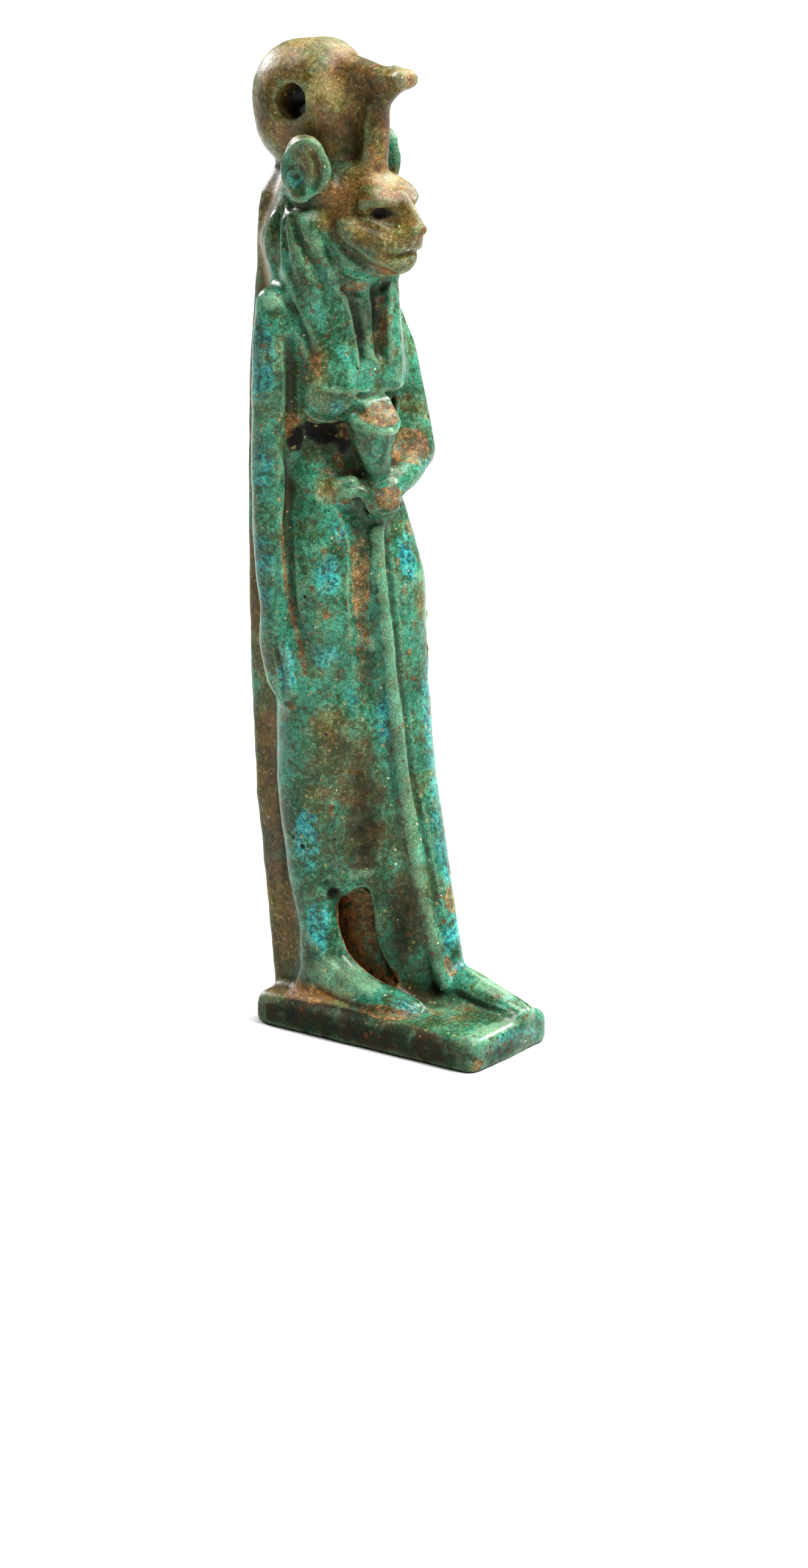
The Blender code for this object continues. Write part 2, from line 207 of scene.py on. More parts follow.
def ease(path):
    """Takes the corners off a path between its ends."""
    for _ in range(3):
        path[1:-1] = (path[:-2] + 2 * path[1:-1] + path[2:]) / 4


class Skin:
    """The figure's skin as arrays in millimetres, which strokes of a modelling tool press in or raise."""

    def __init__(self, piece):
        self.mesh = piece.data
        self.count = len(self.mesh.vertices)
        places = np.empty(self.count * 3)
        self.mesh.vertices.foreach_get("co", places)
        self.places = places.reshape(-1, 3) / MM
        edges = np.empty(len(self.mesh.edges) * 2, int)
        self.mesh.edges.foreach_get("vertices", edges)
        self.edges = edges.reshape(-1, 2)
        self.neighbours = np.bincount(edges, minlength=self.count)[:, None]
        self.settle()

    def spread(self, values):
        """Each point's mean over its neighbours."""
        out = np.empty_like(values)
        first, second = self.edges.T
        for axis in range(values.shape[1]):
            column = values[:, axis]
            out[:, axis] = (np.bincount(first, column[second], self.count)
                            + np.bincount(second, column[first], self.count))
        return out / self.neighbours

    def write(self):
        """Gives the points back to the mesh."""
        self.mesh.vertices.foreach_set("co", (self.places * MM).ravel())
        self.mesh.update()

    def settle(self):
        """Takes stock of the skin after it has moved: which way it faces, and where its points are."""
        self.write()
        normals = np.empty(self.count * 3)
        self.mesh.vertices.foreach_get("normal", normals)
        normals = normals.reshape(-1, 3)
        for _ in range(2):
            normals = self.spread(normals)
        self.normals = normals / np.linalg.norm(normals, axis=1, keepdims=True)
        self.finder = KDTree(self.count)
        for index, point in enumerate(self.places.tolist()):
            self.finder.insert(point, index)
        self.finder.balance()

    def smooth(self, passes):
        """Takes the facets off without shrinking the form."""
        for _ in range(passes):
            for strength in SMOOTHING:
                self.places += strength * (self.spread(self.places) - self.places)

    def line(self, points):
        """A path laid on the skin through these places: its points, which way the skin faces, and how far along."""
        knots = np.array([spot(*point) for point in points])
        runs = np.r_[0, np.cumsum(np.linalg.norm(np.diff(knots, axis=0), axis=1))]
        at = np.linspace(0, runs[-1], max(3, int(runs[-1] / PATH_STEP)))
        path = np.stack([np.interp(at, runs, knots[:, axis]) for axis in range(3)], 1)
        ease(path)
        found = [self.finder.find(point)[1] for point in path.tolist()]
        path = self.places[found].copy()
        ease(path)
        return path, self.normals[found], at / runs[-1]

    def near(self, path, faces, width):
        """The points within a width of the path, their share of the stroke and their nearest step of it."""
        box = ((self.places > path.min(0) - width) & (self.places < path.max(0) + width)).all(1)
        rows = np.nonzero(box)[0]
        shares, steps = [], []
        for part in np.array_split(rows, len(rows) // ROWS_AT_ONCE + 1):
            gaps = ((self.places[part, None] - path[None]) ** 2).sum(2)
            step = gaps.argmin(1)
            share = np.clip(1 - gaps[np.arange(len(part)), step] / width ** 2, 0, 1) ** 2
            share *= (self.normals[part] * faces[step]).sum(1) > SAME_SIDE
            shares.append(share)
            steps.append(step)
        shares, steps = np.concatenate(shares), np.concatenate(steps)
        kept = shares > 0
        return rows[kept], shares[kept], steps[kept]

    def stroke(self, points, width, depth, fade=0.15, both=False):
        """Raises the skin by a depth along a path, or presses it in where the depth is negative.

        The fade is the share of the path over which it sets in and dies away, or one share for each end.
        """
        for path_points in ([points, across(points)] if both else [points]):
            path, faces, along = self.line(path_points)
            rows, shares, steps = self.near(path, faces, width)
            start, end = fade if isinstance(fade, tuple) else (fade, fade)
            ends = np.clip(np.minimum(along / max(start, 1e-6), (1 - along) / max(end, 1e-6)), 0, 1)
            strength = ends * ends * (3 - 2 * ends) if start or end else np.ones(len(along))
            self.places[rows] += depth * (shares * strength[steps])[:, None] * self.normals[rows]

    def dab(self, x, forward, up, radius, depth, both=False):
        """One press of a round tool."""
        for sign in ((1, -1) if both else (1,)):
            self.stroke([(sign * x, forward, up), (sign * x, forward + 0.01, up)], radius, depth, fade=0)

    def melt(self, x, forward, up, radius, passes):
        """Rubs one place smooth, sharp edges and all."""
        gap = ((self.places - spot(x, forward, up)) ** 2).sum(1) / radius ** 2
        share = np.clip(1 - gap, 0, 1)[:, None]
        for _ in range(passes):
            self.places += MELTING * share * (self.spread(self.places) - self.places)

    def ripple(self, size, depth, seed):
        """The unevenness of hand work, with swells of about this size."""
        shift = Vector((seed * 3.1, seed * 1.7, seed * 2.3))
        swell = np.array([noise.noise(Vector(point) / size + shift) for point in self.places.tolist()])
        self.places += depth * swell[:, None] * self.normals


def work_disc_and_cobra(skin):
    skin.dab(-4.3, 3.0, 79.6, 2.4, -0.18, both=True)
    skin.stroke([(-1.5, 6.5, 80.2), (-1.5, 6.9, 78.4), (-1.4, 7.3, 76.4), (-1.5, 7.6, 74.6)], 0.6, -0.15, both=True)
    skin.stroke([(-2.0, 4.8, 81.9), (-1.5, 7.0, 81.6), (-1.1, 9.2, 81.3), (-0.9, 11.4, 80.9)], 0.6, -0.1, both=True)
    skin.stroke([(-1.1, 9.3, 79.9), (-1.2, 9.0, 78.0), (-1.3, 8.9, 76.0), (-1.4, 8.8, 74.4)], 0.6, 0.1, both=True)
    skin.dab(0, 11.2, 82.7, 0.7, 0.2)
    skin.stroke([(-0.6, 10.4, 82.3), (-0.6, 12.2, 82.1)], 0.3, -0.08, both=True)
    skin.stroke([(-1.6, 6.2, 82.9), (-1.7, 4.0, 83.6)], 0.6, -0.08, both=True)


def work_ears(skin):
    rim = [(-5.4, 3.4, 71.4), (-5.8, 2.9, 72.8), (-5.9, 3.3, 74.6), (-5.7, 4.5, 76.1), (-5.3, 6.0, 76.5),
           (-4.9, 7.3, 75.6), (-4.8, 7.8, 74.2), (-4.8, 7.6, 72.8)]
    skin.dab(-6.0, 5.2, 74.2, 1.9, -0.55, both=True)
    skin.dab(-6.0, 5.2, 72.6, 1.2, -0.2, both=True)
    skin.stroke(rim, 0.5, 0.15, both=True)
    skin.stroke([(-5.4, 6.1, 75.9), (-5.3, 6.8, 74.9), (-5.2, 6.9, 73.4), (-5.5, 6.2, 72.0)], 0.55, -0.42,
                both=True)
    skin.stroke([(-5.7, 4.6, 75.2), (-5.7, 5.9, 74.6), (-5.8, 6.0, 73.0)], 0.55, 0.2, both=True)
    skin.dab(-5.9, 4.6, 73.4, 0.6, -0.35, both=True)
    skin.stroke([(-4.8, 7.5, 71.6), (-5.4, 5.4, 70.7), (-5.4, 3.2, 70.9)], 0.5, -0.35, both=True)


def work_face(skin):
    skin.stroke([(-3.6, 10.1, 71.0), (-2.8, 11.0, 71.5), (-1.9, 11.7, 71.5), (-1.0, 12.4, 71.1)], 0.5, 0.12,
                both=True)
    skin.stroke([(-3.7, 10.1, 70.2), (-3.0, 10.7, 69.9), (-2.3, 11.4, 69.5), (-1.6, 12.5, 69.0),
                 (-1.2, 13.1, 68.9)], 0.4, 0.16, both=True)
    skin.stroke([(-3.4, 9.6, 69.4), (-2.6, 10.9, 68.9), (-1.9, 12.0, 68.2)], 0.7, -0.08, both=True)
    mouth = [(-2.7, 11.3, 67.2), (-1.6, 12.5, 66.8), (-0.7, 13.0, 66.9)]
    skin.stroke([*mouth, (0, 13.2, 67.0), *across(mouth[::-1])], 0.42, -0.32, fade=0.2)
    skin.stroke([(-3.4, 10.0, 66.9), (-2.2, 11.2, 66.2), (-0.8, 12.6, 66.1), (0, 12.9, 66.1)], 0.5, 0.08, both=True)
    skin.stroke([(0, 13.9, 68.4), (0, 13.4, 67.2)], 0.28, -0.15)
    skin.stroke([(-0.9, 13.3, 68.9), (-0.5, 13.9, 68.4), (0, 14.0, 68.2)], 0.28, -0.15, both=True)
    skin.dab(-4.2, 8.9, 69.4, 2.0, 0.25, both=True)
    skin.stroke([(-4.6, 7.4, 70.2), (-4.6, 7.6, 69.4), (-4.6, 8.6, 67.9), (-3.9, 9.8, 66.7), (-3.0, 10.4, 65.9),
                 (-1.6, 11.4, 65.0), (0, 11.8, 64.8)], 0.85, -0.45, fade=0.25, both=True)
    skin.stroke([(-0.6, 9.4, 73.4), (-2.6, 8.4, 73.6), (-3.9, 7.2, 73.4)], 0.7, -0.1, both=True)
    skin.stroke([(-3.9, 8.3, 64.8), (-2.7, 9.0, 64.3), (-1.3, 9.3, 64.0), (0, 9.4, 63.9)], 0.35, 0.22, both=True)
    skin.stroke([(-3.6, 8.0, 63.9), (-2.2, 8.4, 63.3), (-0.8, 8.6, 63.0)], 0.45, -0.3, both=True)


def work_wig(skin):
    skin.stroke([(-5.5, 5.0, 70.6), (-5.7, 5.5, 69.8), (-5.6, 6.3, 68.4), (-5.2, 6.8, 67.5), (-4.4, 7.4, 65.9),
                 (-3.5, 7.6, 64.1), (-2.9, 7.8, 62.0), (-2.4, 8.0, 60.0)], 0.75, 0.3, fade=0.3, both=True)
    skin.stroke([(-5.9, 4.5, 70.4), (-6.2, 5.0, 69.2), (-6.1, 5.6, 67.8), (-5.6, 6.2, 66.7), (-5.0, 6.8, 65.4),
                 (-4.6, 7.1, 64.0), (-4.2, 7.4, 62.0), (-3.9, 7.7, 59.6)], 0.6, -0.3, fade=(0.1, 0.6), both=True)
    skin.stroke([(-6.0, 3.9, 69.8), (-6.3, 4.6, 67.9), (-6.0, 5.5, 66.3), (-5.5, 6.2, 64.6), (-5.1, 6.6, 62.4),
                 (-4.9, 6.9, 60.0)], 0.8, 0.12, fade=0.3, both=True)
    skin.stroke([(-5.6, 3.2, 70.6), (-6.2, 3.7, 68.6), (-6.3, 4.2, 66.6), (-6.2, 4.8, 65.0), (-5.9, 5.5, 63.0),
                 (-5.7, 5.9, 61.0)], 0.6, -0.18, fade=0.3, both=True)
    skin.stroke([(-5.3, 2.5, 70.9), (-5.7, 2.7, 68.5), (-5.8, 2.6, 66.4), (-5.6, 2.3, 64.6)], 0.7, -0.2, both=True)
    skin.stroke([(-5.6, 3.4, 70.0), (-6.1, 3.5, 67.6), (-6.2, 3.6, 65.2)], 0.4, 0.18, both=True)
    skin.stroke([(-5.2, 1.6, 70.4), (-5.5, 1.5, 68.0), (-5.4, 1.4, 65.4)], 0.6, 0.2, both=True)
    skin.stroke([(-6.6, 3.2, 64.0), (-6.2, 4.5, 62.4), (-5.9, 5.4, 60.6), (-5.5, 6.2, 58.6), (-5.3, 6.8, 56.6)],
                0.6, -0.4, fade=0.3)
    skin.stroke([(6.6, 4.4, 64.0), (6.3, 5.6, 62.0), (5.9, 6.8, 60.0), (5.4, 7.8, 58.0), (5.0, 8.3, 56.4)], 0.5,
                -0.5)
    right_edge = [(-3.3, 7.6, 63.8), (-2.6, 7.8, 62.0), (-2.2, 7.9, 60.2), (-1.9, 8.1, 58.0), (-1.8, 8.4, 55.6)]
    skin.stroke(right_edge, 0.6, 0.4)
    skin.stroke([(-2.0, 8.1, 63.6), (-1.4, 8.2, 61.0), (-1.0, 8.3, 58.8), (-1.0, 8.4, 56.4)], 0.8, -0.45)
    skin.stroke([(0.9, 8.5, 64.0), (1.1, 8.5, 61.0), (1.1, 8.5, 58.8), (1.0, 8.7, 56.8)], 0.75, -0.5)
    skin.stroke([(2.4, 8.3, 63.6), (2.1, 8.7, 61.0), (2.0, 9.0, 58.8), (1.9, 9.1, 56.2)], 0.5, 0.4)
    skin.stroke([(-1.4, 8.0, 59.0), (-0.6, 8.2, 58.4), (0.6, 8.4, 57.2), (1.1, 8.8, 55.8)], 0.45, 0.22, fade=0.3)
    skin.stroke([(-5.4, 6.6, 55.4), (-3.8, 8.2, 54.9), (-1.8, 8.6, 54.7), (1.4, 8.8, 54.4), (3.6, 9.4, 54.6),
                 (5.0, 8.6, 54.6)], 0.45, 0.22)


def work_torso(skin):
    skin.stroke([(-5.4, 4.9, 53.6), (-4.6, 6.0, 52.8), (-2.8, 6.6, 52.4), (-2.0, 7.2, 52.7), (-0.9, 7.9, 53.3)],
                0.55, 0.3)
    skin.stroke([(-3.2, 7.6, 54.2), (-1.4, 8.2, 54.1), (0.6, 8.4, 53.7)], 0.3, -0.2)
    skin.settle()
    skin.stroke([(-5.4, 4.3, 50.2), (-3.8, 5.6, 49.9), (-2.2, 6.7, 49.6)], 2.2, -0.8, fade=0.1)
    skin.smooth(4)
    skin.settle()
    skin.stroke([(-5.2, 4.4, 51.2), (-3.8, 5.6, 51.0), (-2.0, 6.6, 50.8)], 1.1, -0.6, fade=0.1)
    skin.smooth(4)
    skin.settle()
    skin.melt(-3.4, 5.6, 49.0, 2.2, 40)
    skin.melt(-2.2, 6.4, 49.4, 1.6, 30)
    skin.melt(-5.0, 4.2, 50.8, 1.8, 60)
    skin.melt(0, 9.9, 52.4, 1.7, 25)
    skin.stroke([(-6.3, 4.4, 60.3), (-6.0, 4.4, 57.1), (-5.5, 4.0, 51.6), (-5.2, 3.6, 46.2), (-5.8, 3.9, 43.0),
                 (-6.0, 4.2, 39.9), (-6.1, 4.6, 36.1), (-6.0, 5.1, 34.5), (-5.8, 5.7, 32.4), (-5.7, 5.9, 29.4)],
                0.65, -0.4, fade=(0.05, 0.3))
    skin.melt(-5.3, 4.0, 49.8, 1.7, 60)


def work_hands(skin):
    skin.stroke([(-7.1, 3.6, 32.6), (-7.1, 3.9, 31.4), (-6.9, 4.1, 29.6), (-6.6, 4.2, 27.6)], 0.32, -0.22)
    skin.stroke([(-7.0, 2.6, 29.4), (-6.9, 3.2, 28.2), (-6.7, 3.7, 27.0)], 0.28, -0.12)
    skin.dab(-6.5, 4.8, 26.6, 0.5, 0.12)
    skin.stroke([(-1.2, 8.6, 46.8), (-0.9, 9.0, 46.4), (-1.0, 9.4, 45.4), (-1.3, 9.4, 44.4)], 0.45, -0.22)
    skin.stroke([(1.6, 10.7, 46.0), (1.5, 11.1, 45.2), (1.2, 11.2, 44.2)], 0.3, -0.18)
    skin.stroke([(0.2, 11.3, 45.8), (0.2, 11.4, 45.0), (0, 11.2, 44.2)], 0.25, -0.1)
    skin.stroke([(-3.3, 6.9, 44.9), (-2.9, 7.2, 43.8), (-2.7, 7.6, 42.6), (-2.5, 7.9, 41.4), (-2.4, 8.2, 40.2)],
                0.35, 0.22)
    skin.stroke([(0.9, 11.0, 44.6), (-0.3, 10.9, 44.2), (-1.2, 10.3, 43.8)], 0.35, 0.15)


def work_sceptre(skin):
    skin.stroke([(-2.5, 8.0, 52.0), (-2.2, 9.4, 51.6), (-1.2, 10.7, 51.2), (0.4, 11.0, 51.1), (1.6, 10.2, 51.4),
                 (2.1, 9.0, 51.8)], 0.4, 0.12)
    for x, forward in ((-1.2, 9.4), (-0.2, 10.4), (1.0, 10.4)):
        skin.stroke([(x, forward - 0.1, 51.6), (0.4 + (x - 0.4) * 0.5, 9.4, 48.6)], 0.3, -0.08)
    middle = [(-0.7, 9.7, 43.3), (-0.6, 9.7, 40.8), (-0.6, 9.9, 38.1), (-0.5, 10.3, 35.4), (-0.4, 10.6, 33.1),
              (-0.4, 11.0, 30.0), (-0.3, 11.3, 27.9), (-0.2, 11.8, 22.9), (0.0, 12.4, 18.6), (0.2, 13.1, 14.7),
              (0.4, 13.9, 10.9), (0.7, 14.6, 7.6), (0.9, 15.2, 4.9), (1.1, 15.8, 2.7), (1.2, 16.7, 0.9)]
    skin.stroke(middle, 1.0, 0.36, fade=0.02)
    right = [(0.3, 10.0, 43.0), (0.5, 9.9, 40.7), (0.5, 10.3, 37.7), (0.6, 10.8, 33.0), (0.9, 11.3, 28.1),
             (0.9, 12.2, 22.3), (1.2, 13.0, 17.9), (1.5, 13.8, 13.5), (1.7, 14.5, 9.7), (2.0, 15.1, 6.5),
             (2.2, 15.7, 3.7), (2.3, 16.2, 2.0)]
    skin.stroke(right, 0.45, -0.28, fade=(0.03, 0.3))
    skin.stroke([(-1.4, 8.4, 42.6), (-1.8, 8.7, 39.8), (-2.0, 9.0, 35.5), (-1.8, 9.2, 32.2), (-1.5, 9.4, 28.9),
                 (-1.5, 9.8, 24.5), (-1.5, 10.2, 19.0)], 1.15, -0.5, fade=(0.1, 0.5))


def work_skirt(skin):
    skin.stroke([(-2.0, 9.3, 26.0), (-2.7, 8.9, 20.0), (-2.9, 8.8, 17.7), (-2.7, 9.1, 15.8), (-2.6, 9.3, 13.7),
                 (-2.5, 9.4, 11.4)], 2.0, -0.7, fade=(0.8, 0.05))
    skin.stroke([(-4.9, 6.8, 27.0), (-4.9, 6.8, 22.0), (-5.0, 6.6, 16.0), (-5.0, 6.4, 12.0)], 1.8, 0.22, fade=0.3)
    skin.stroke([(-1.0, 10.6, 24.0), (-1.0, 11.0, 18.0), (-0.9, 11.6, 13.0)], 1.2, 0.18, fade=0.3)
    skin.stroke([(-4.6, 7.0, 11.0), (-3.9, 7.4, 9.9), (-3.3, 7.4, 9.4)], 0.9, -0.25, fade=0.3)
    skin.stroke([(3.6, 13.6, 9.4), (2.2, 14.6, 9.6), (5.0, 12.6, 9.4)], 0.4, -0.08)


def work_feet(skin):
    skin.stroke([(-2.9, 6.6, 8.9), (-2.7, 6.8, 7.0), (-2.4, 7.1, 5.5), (-2.2, 7.8, 3.9), (-2.0, 8.9, 2.9),
                 (-1.6, 10.6, 1.9), (-1.2, 12.2, 1.1)], 0.4, 0.15)
    skin.stroke([(-4.9, 5.2, 6.6), (-4.7, 6.2, 4.6), (-4.4, 7.8, 3.0), (-4.3, 10.2, 1.9), (-4.2, 12.8, 1.3)], 0.7,
                0.2)
    skin.stroke([(-5.3, 4.6, 2.2), (-5.3, 7.0, 1.0), (-5.3, 9.6, 0.5), (-5.3, 12.6, 0.2), (-4.6, 15.6, 0.2),
                 (-3.0, 17.0, 0.2), (-1.4, 15.8, 0.2)], 0.45, -0.2, fade=0.1)
    for x, forward in ((-3.9, 15.4), (-3.1, 15.8), (-2.3, 15.6)):
        skin.stroke([(x, forward - 1.2, 1.0), (x + 0.05, forward + 1.2, 0.4)], 0.24, -0.14)
    for x, forward in ((1.6, 23.2), (2.5, 23.6), (3.4, 23.4)):
        skin.stroke([(x, forward - 1.4, 0.9), (x + 0.05, forward + 1.0, 0.3)], 0.24, -0.14)
    skin.stroke([(1.2, 16.8, 1.2), (1.2, 18.9, 0.8), (1.0, 21.1, 0.5), (1.3, 23.6, 0.2)], 0.45, -0.25)
    skin.stroke([(3.2, 16.0, 4.4), (2.9, 17.8, 2.8), (2.8, 20.4, 2.0), (2.9, 22.8, 1.2)], 0.7, 0.2)
    skin.stroke([(5.1, 13.4, 1.4), (5.0, 17.0, 0.8), (4.9, 20.6, 0.4), (4.4, 23.4, 0.1)], 0.45, -0.2)


def chip(skin):
    """Pits and flakes of the old glaze."""
    for x, forward, up, radius, depth in ((-4.0, 6.1, 45.5, 0.45, -0.12), (-4.9, 5.8, 43.2, 0.35, -0.12),
                                          (-3.0, 7.5, 42.1, 0.4, -0.14), (-4.4, 6.9, 40.7, 0.4, -0.14),
                                          (-5.4, 6.3, 37.5, 0.35, -0.12), (-4.5, 7.2, 35.1, 0.5, -0.14),
                                          (-5.8, 5.8, 36.7, 0.3, -0.14), (-2.0, 9.0, 34.2, 0.5, -0.1),
                                          (-1.3, 9.6, 32.0, 0.45, 0.08), (-1.6, 9.4, 30.6, 0.4, 0.06),
                                          (1.6, 11.2, 36.8, 0.5, -0.14), (1.4, 10.5, 39.4, 0.4, -0.1),
                                          (4.5, 11.4, 31.1, 0.5, 0.1), (3.6, 10.0, 42.0, 0.6, 0.12),
                                          (-6.5, 4.7, 27.0, 0.4, -0.12), (-2.4, 9.1, 20.6, 0.5, -0.18),
                                          (-4.2, 7.5, 17.5, 0.45, -0.16), (-5.9, 4.5, 14.8, 0.3, -0.2),
                                          (-5.7, 5.5, 14.0, 0.35, -0.2), (3.5, 15.2, 8.9, 0.55, 0.1),
                                          (5.2, 11.0, 34.0, 0.6, 0.12)):
        skin.dab(x, forward, up, radius, depth)


def carve():
    """The finished figure: moulded, worked and chipped."""
    piece = moulded_figure()
    press_on(piece, shape_head() + shape_hands() + shape_umbel() + shape_instep())
    apply(piece, "REMESH", mode="VOXEL", voxel_size=ROUGH_GRAIN * MM, use_smooth_shade=True)
    for tool in hollow_tools():
        cut_out(piece, tool)
    apply(piece, "REMESH", mode="VOXEL", voxel_size=CLAY_GRAIN * MM, use_smooth_shade=True)
    skin = Skin(piece)
    skin.smooth(MOULDED_PASSES)
    for work in (work_disc_and_cobra, work_ears, work_face, work_wig, work_torso, work_hands, work_sceptre,
                 work_skirt, work_feet):
        skin.settle()
        work(skin)
    skin.smooth(WORKED_PASSES)
    skin.settle()
    chip(skin)
    for size, depth, seed in RIPPLES:
        skin.ripple(size, depth, seed)
    skin.places[:, 2] = np.maximum(skin.places[:, 2], 0)  # the underside stays flat on the ground
    skin.write()
    triangles = sum(len(p.vertices) - 2 for p in piece.data.polygons)
    if triangles > MOST_TRIANGLES:
        apply(piece, "DECIMATE", ratio=MOST_TRIANGLES / triangles)
    return piece


# ---- Where the glaze pools, wears and stains, and where shade and highlights are painted on

# Feelers that each point sends out, how far they reach and start, and the flattest that count
SHELTER_RAYS = 22
SHELTER_REACH = 5.0
SHELTER_START = 0.08
SHELTER_SLANT = 0.12
SHELTER_PASSES = 2

# Relief at two sizes: smoothing passes to find the mean skin, and the depth in millimetres that counts as one
RELIEF = (("crease", 4, 0.03), ("hollow", 34, 0.16))

# Patches, each with its middle (x, forward, up), its half width, depth and height, and its strength.
# Lines, each with its path, half width and strength.
KHAKI = [(0, 2.5, 79.5, 8.5, 8.5, 8.0, 1.6), (0, 9.5, 80.5, 3.5, 7.0, 5.5, 1.8), (0, 8.6, 76.5, 3.5, 4.0, 4.5, 1.2),
         (0, 10.0, 70.6, 6.8, 6.4, 5.4, 1.6), (0, 12.0, 67.6, 4.2, 4.2, 4.0, 1.3),
         (0, 11.0, 66.0, 3.4, 3.4, 2.0, 1.2), (-4.2, 7.8, 71.0, 2.0, 2.8, 3.4, 1.2),
         (4.2, 7.8, 71.0, 2.0, 2.8, 3.4, 1.2), (-5.4, 6.0, 74.6, 1.6, 2.8, 3.2, 0.75),
         (5.4, 6.0, 74.6, 1.6, 2.8, 3.2, 0.6), (0, 0.5, 70.5, 7.6, 4.2, 6.5, 1.1),
         (0, 0.2, 66.0, 7.6, 3.2, 9.0, 1.3), (0, -0.6, 52.0, 7.0, 4.0, 14.0, 1.4),
         (0, -0.6, 36.0, 7.0, 4.0, 14.0, 1.5), (0, 0.0, 20.0, 7.0, 4.0, 14.0, 1.5),
         (0, 0.8, 6.0, 7.5, 4.0, 10.0, 1.5), (-5.0, 5.0, 0.2, 3.0, 8.0, 1.8, 1.1),
         (5.0, 5.0, 0.2, 2.6, 7.0, 1.8, 0.8), (-5.6, 14.0, -1.6, 1.4, 14.0, 2.4, 0.75),
         (-2.6, 8.8, 20.5, 2.8, 2.8, 7.5, 0.7), (-1.6, 9.6, 14.5, 1.8, 2.4, 6.0, 0.7),
         (0.2, 12.0, 12.0, 1.6, 2.2, 8.0, 0.7), (-4.6, 6.6, 22.0, 2.0, 2.4, 4.0, 0.6),
         (-3.8, 7.4, 24.8, 3.4, 2.6, 3.0, 0.8), (-4.8, 6.6, 19.0, 2.2, 2.4, 3.6, 0.65),
         (0.4, 13.0, 8.0, 2.2, 3.0, 6.0, 0.6), (3.6, 11.8, 36.0, 1.6, 2.4, 4.0, 0.6),
         (-3.4, 6.4, 46.0, 1.8, 2.0, 2.2, 0.7), (-0.4, 8.3, 60.5, 1.2, 1.0, 5.0, 0.6),
         (5.6, 9.0, 52.0, 2.0, 2.0, 4.0, 0.5), (0.5, 11.4, 24.0, 1.2, 1.2, 6.0, 0.5),
         (-4.6, 6.4, 56.6, 1.6, 1.6, 5.0, 0.85), (-1.0, 18.6, 0.3, 6.0, 6.0, 1.0, 0.55),
         (-4.6, 7.0, 33.0, 1.6, 2.0, 10.0, 0.4)]
BARE = [(4.0, 9.9, 49.3, 2.6, 2.4, 2.0, 1.5), (-0.2, 10.9, 45.3, 1.8, 1.6, 1.2, 2.2),
        (-2.4, 7.8, 45.0, 1.1, 1.2, 0.6, 0.8), (-2.0, 6.6, 48.3, 0.6, 0.8, 1.3, 1.1),
        (-3.0, 6.2, 47.6, 0.6, 0.6, 0.5, 0.9), (-1.8, 7.0, 51.0, 1.4, 1.1, 1.2, 1.1),
        (-5.4, 4.2, 51.6, 1.0, 1.1, 2.0, 1.0), (-0.2, 9.8, 52.6, 2.6, 2.2, 1.4, 1.7),
        (-1.8, 8.8, 38.6, 1.2, 1.2, 7.0, 0.95), (-1.7, 9.1, 32.0, 1.0, 1.0, 4.4, 0.75),
        (-1.8, 8.3, 63.7, 2.4, 1.1, 0.9, 1.0), (0.4, 8.4, 59.0, 0.45, 0.6, 0.6, 1.0),
        (1.3, 8.6, 60.4, 0.9, 1.0, 4.6, 0.8), (-5.3, 6.8, 57.4, 0.6, 0.7, 1.5, 0.9),
        (0, 13.8, 68.8, 0.9, 1.1, 0.9, 1.0), (0, 12.3, 81.8, 1.5, 1.9, 1.3, 0.75),
        (0, -2.0, 82.0, 5.5, 2.0, 4.5, 0.7), (0, 9.6, 74.4, 2.6, 1.8, 1.4, 0.6),
        (-0.5, 6.8, 5.2, 2.4, 3.4, 6.4, 1.8), (-0.9, 10.6, 1.6, 1.3, 2.4, 2.0, 1.3),
        (-3.0, 7.0, 3.9, 0.9, 0.9, 1.3, 0.9), (-4.5, 13.8, 0.1, 1.9, 3.6, 0.7, 1.4),
        (-5.2, 5.6, 0.3, 1.6, 4.6, 1.1, 0.9), (1.9, 16.1, 3.1, 0.8, 1.0, 1.5, 1.2),
        (3.6, 10.0, 42.0, 0.7, 0.7, 0.9, 1.6), (5.4, 10.8, 34.0, 0.9, 0.9, 1.6, 1.6),
        (4.6, 11.4, 31.1, 0.6, 0.7, 1.2, 1.4), (3.3, 15.2, 8.9, 0.9, 1.1, 1.35, 2.6),
        (-5.4, 24.6, -2.4, 1.2, 1.4, 0.8, 1.1), (-6.5, 4.8, 26.9, 0.5, 0.6, 0.6, 1.2),
        (-2.4, 9.1, 20.6, 0.6, 0.7, 0.5, 1.2), (-4.2, 7.5, 17.5, 0.4, 0.4, 0.8, 1.2),
        (-4.4, 6.9, 40.7, 0.35, 0.4, 0.4, 1.5), (-5.4, 6.3, 37.5, 0.3, 0.35, 0.35, 1.4),
        (-4.5, 7.2, 35.1, 0.45, 0.45, 0.5, 1.5), (-2.0, 9.0, 34.2, 0.7, 0.7, 0.9, 1.2),
        (1.6, 11.2, 36.8, 0.4, 0.5, 0.5, 1.3), (1.4, 10.5, 39.4, 0.35, 0.4, 0.4, 1.3),
        (1.8, 11.5, 31.3, 0.35, 0.4, 0.5, 1.3), (2.6, 11.2, 34.0, 0.4, 0.5, 0.9, 1.2),
        (6.2, 7.4, 55.0, 1.0, 1.4, 2.4, 0.6), (4.0, 16.0, 12.0, 0.4, 0.5, 0.6, 1.0)]
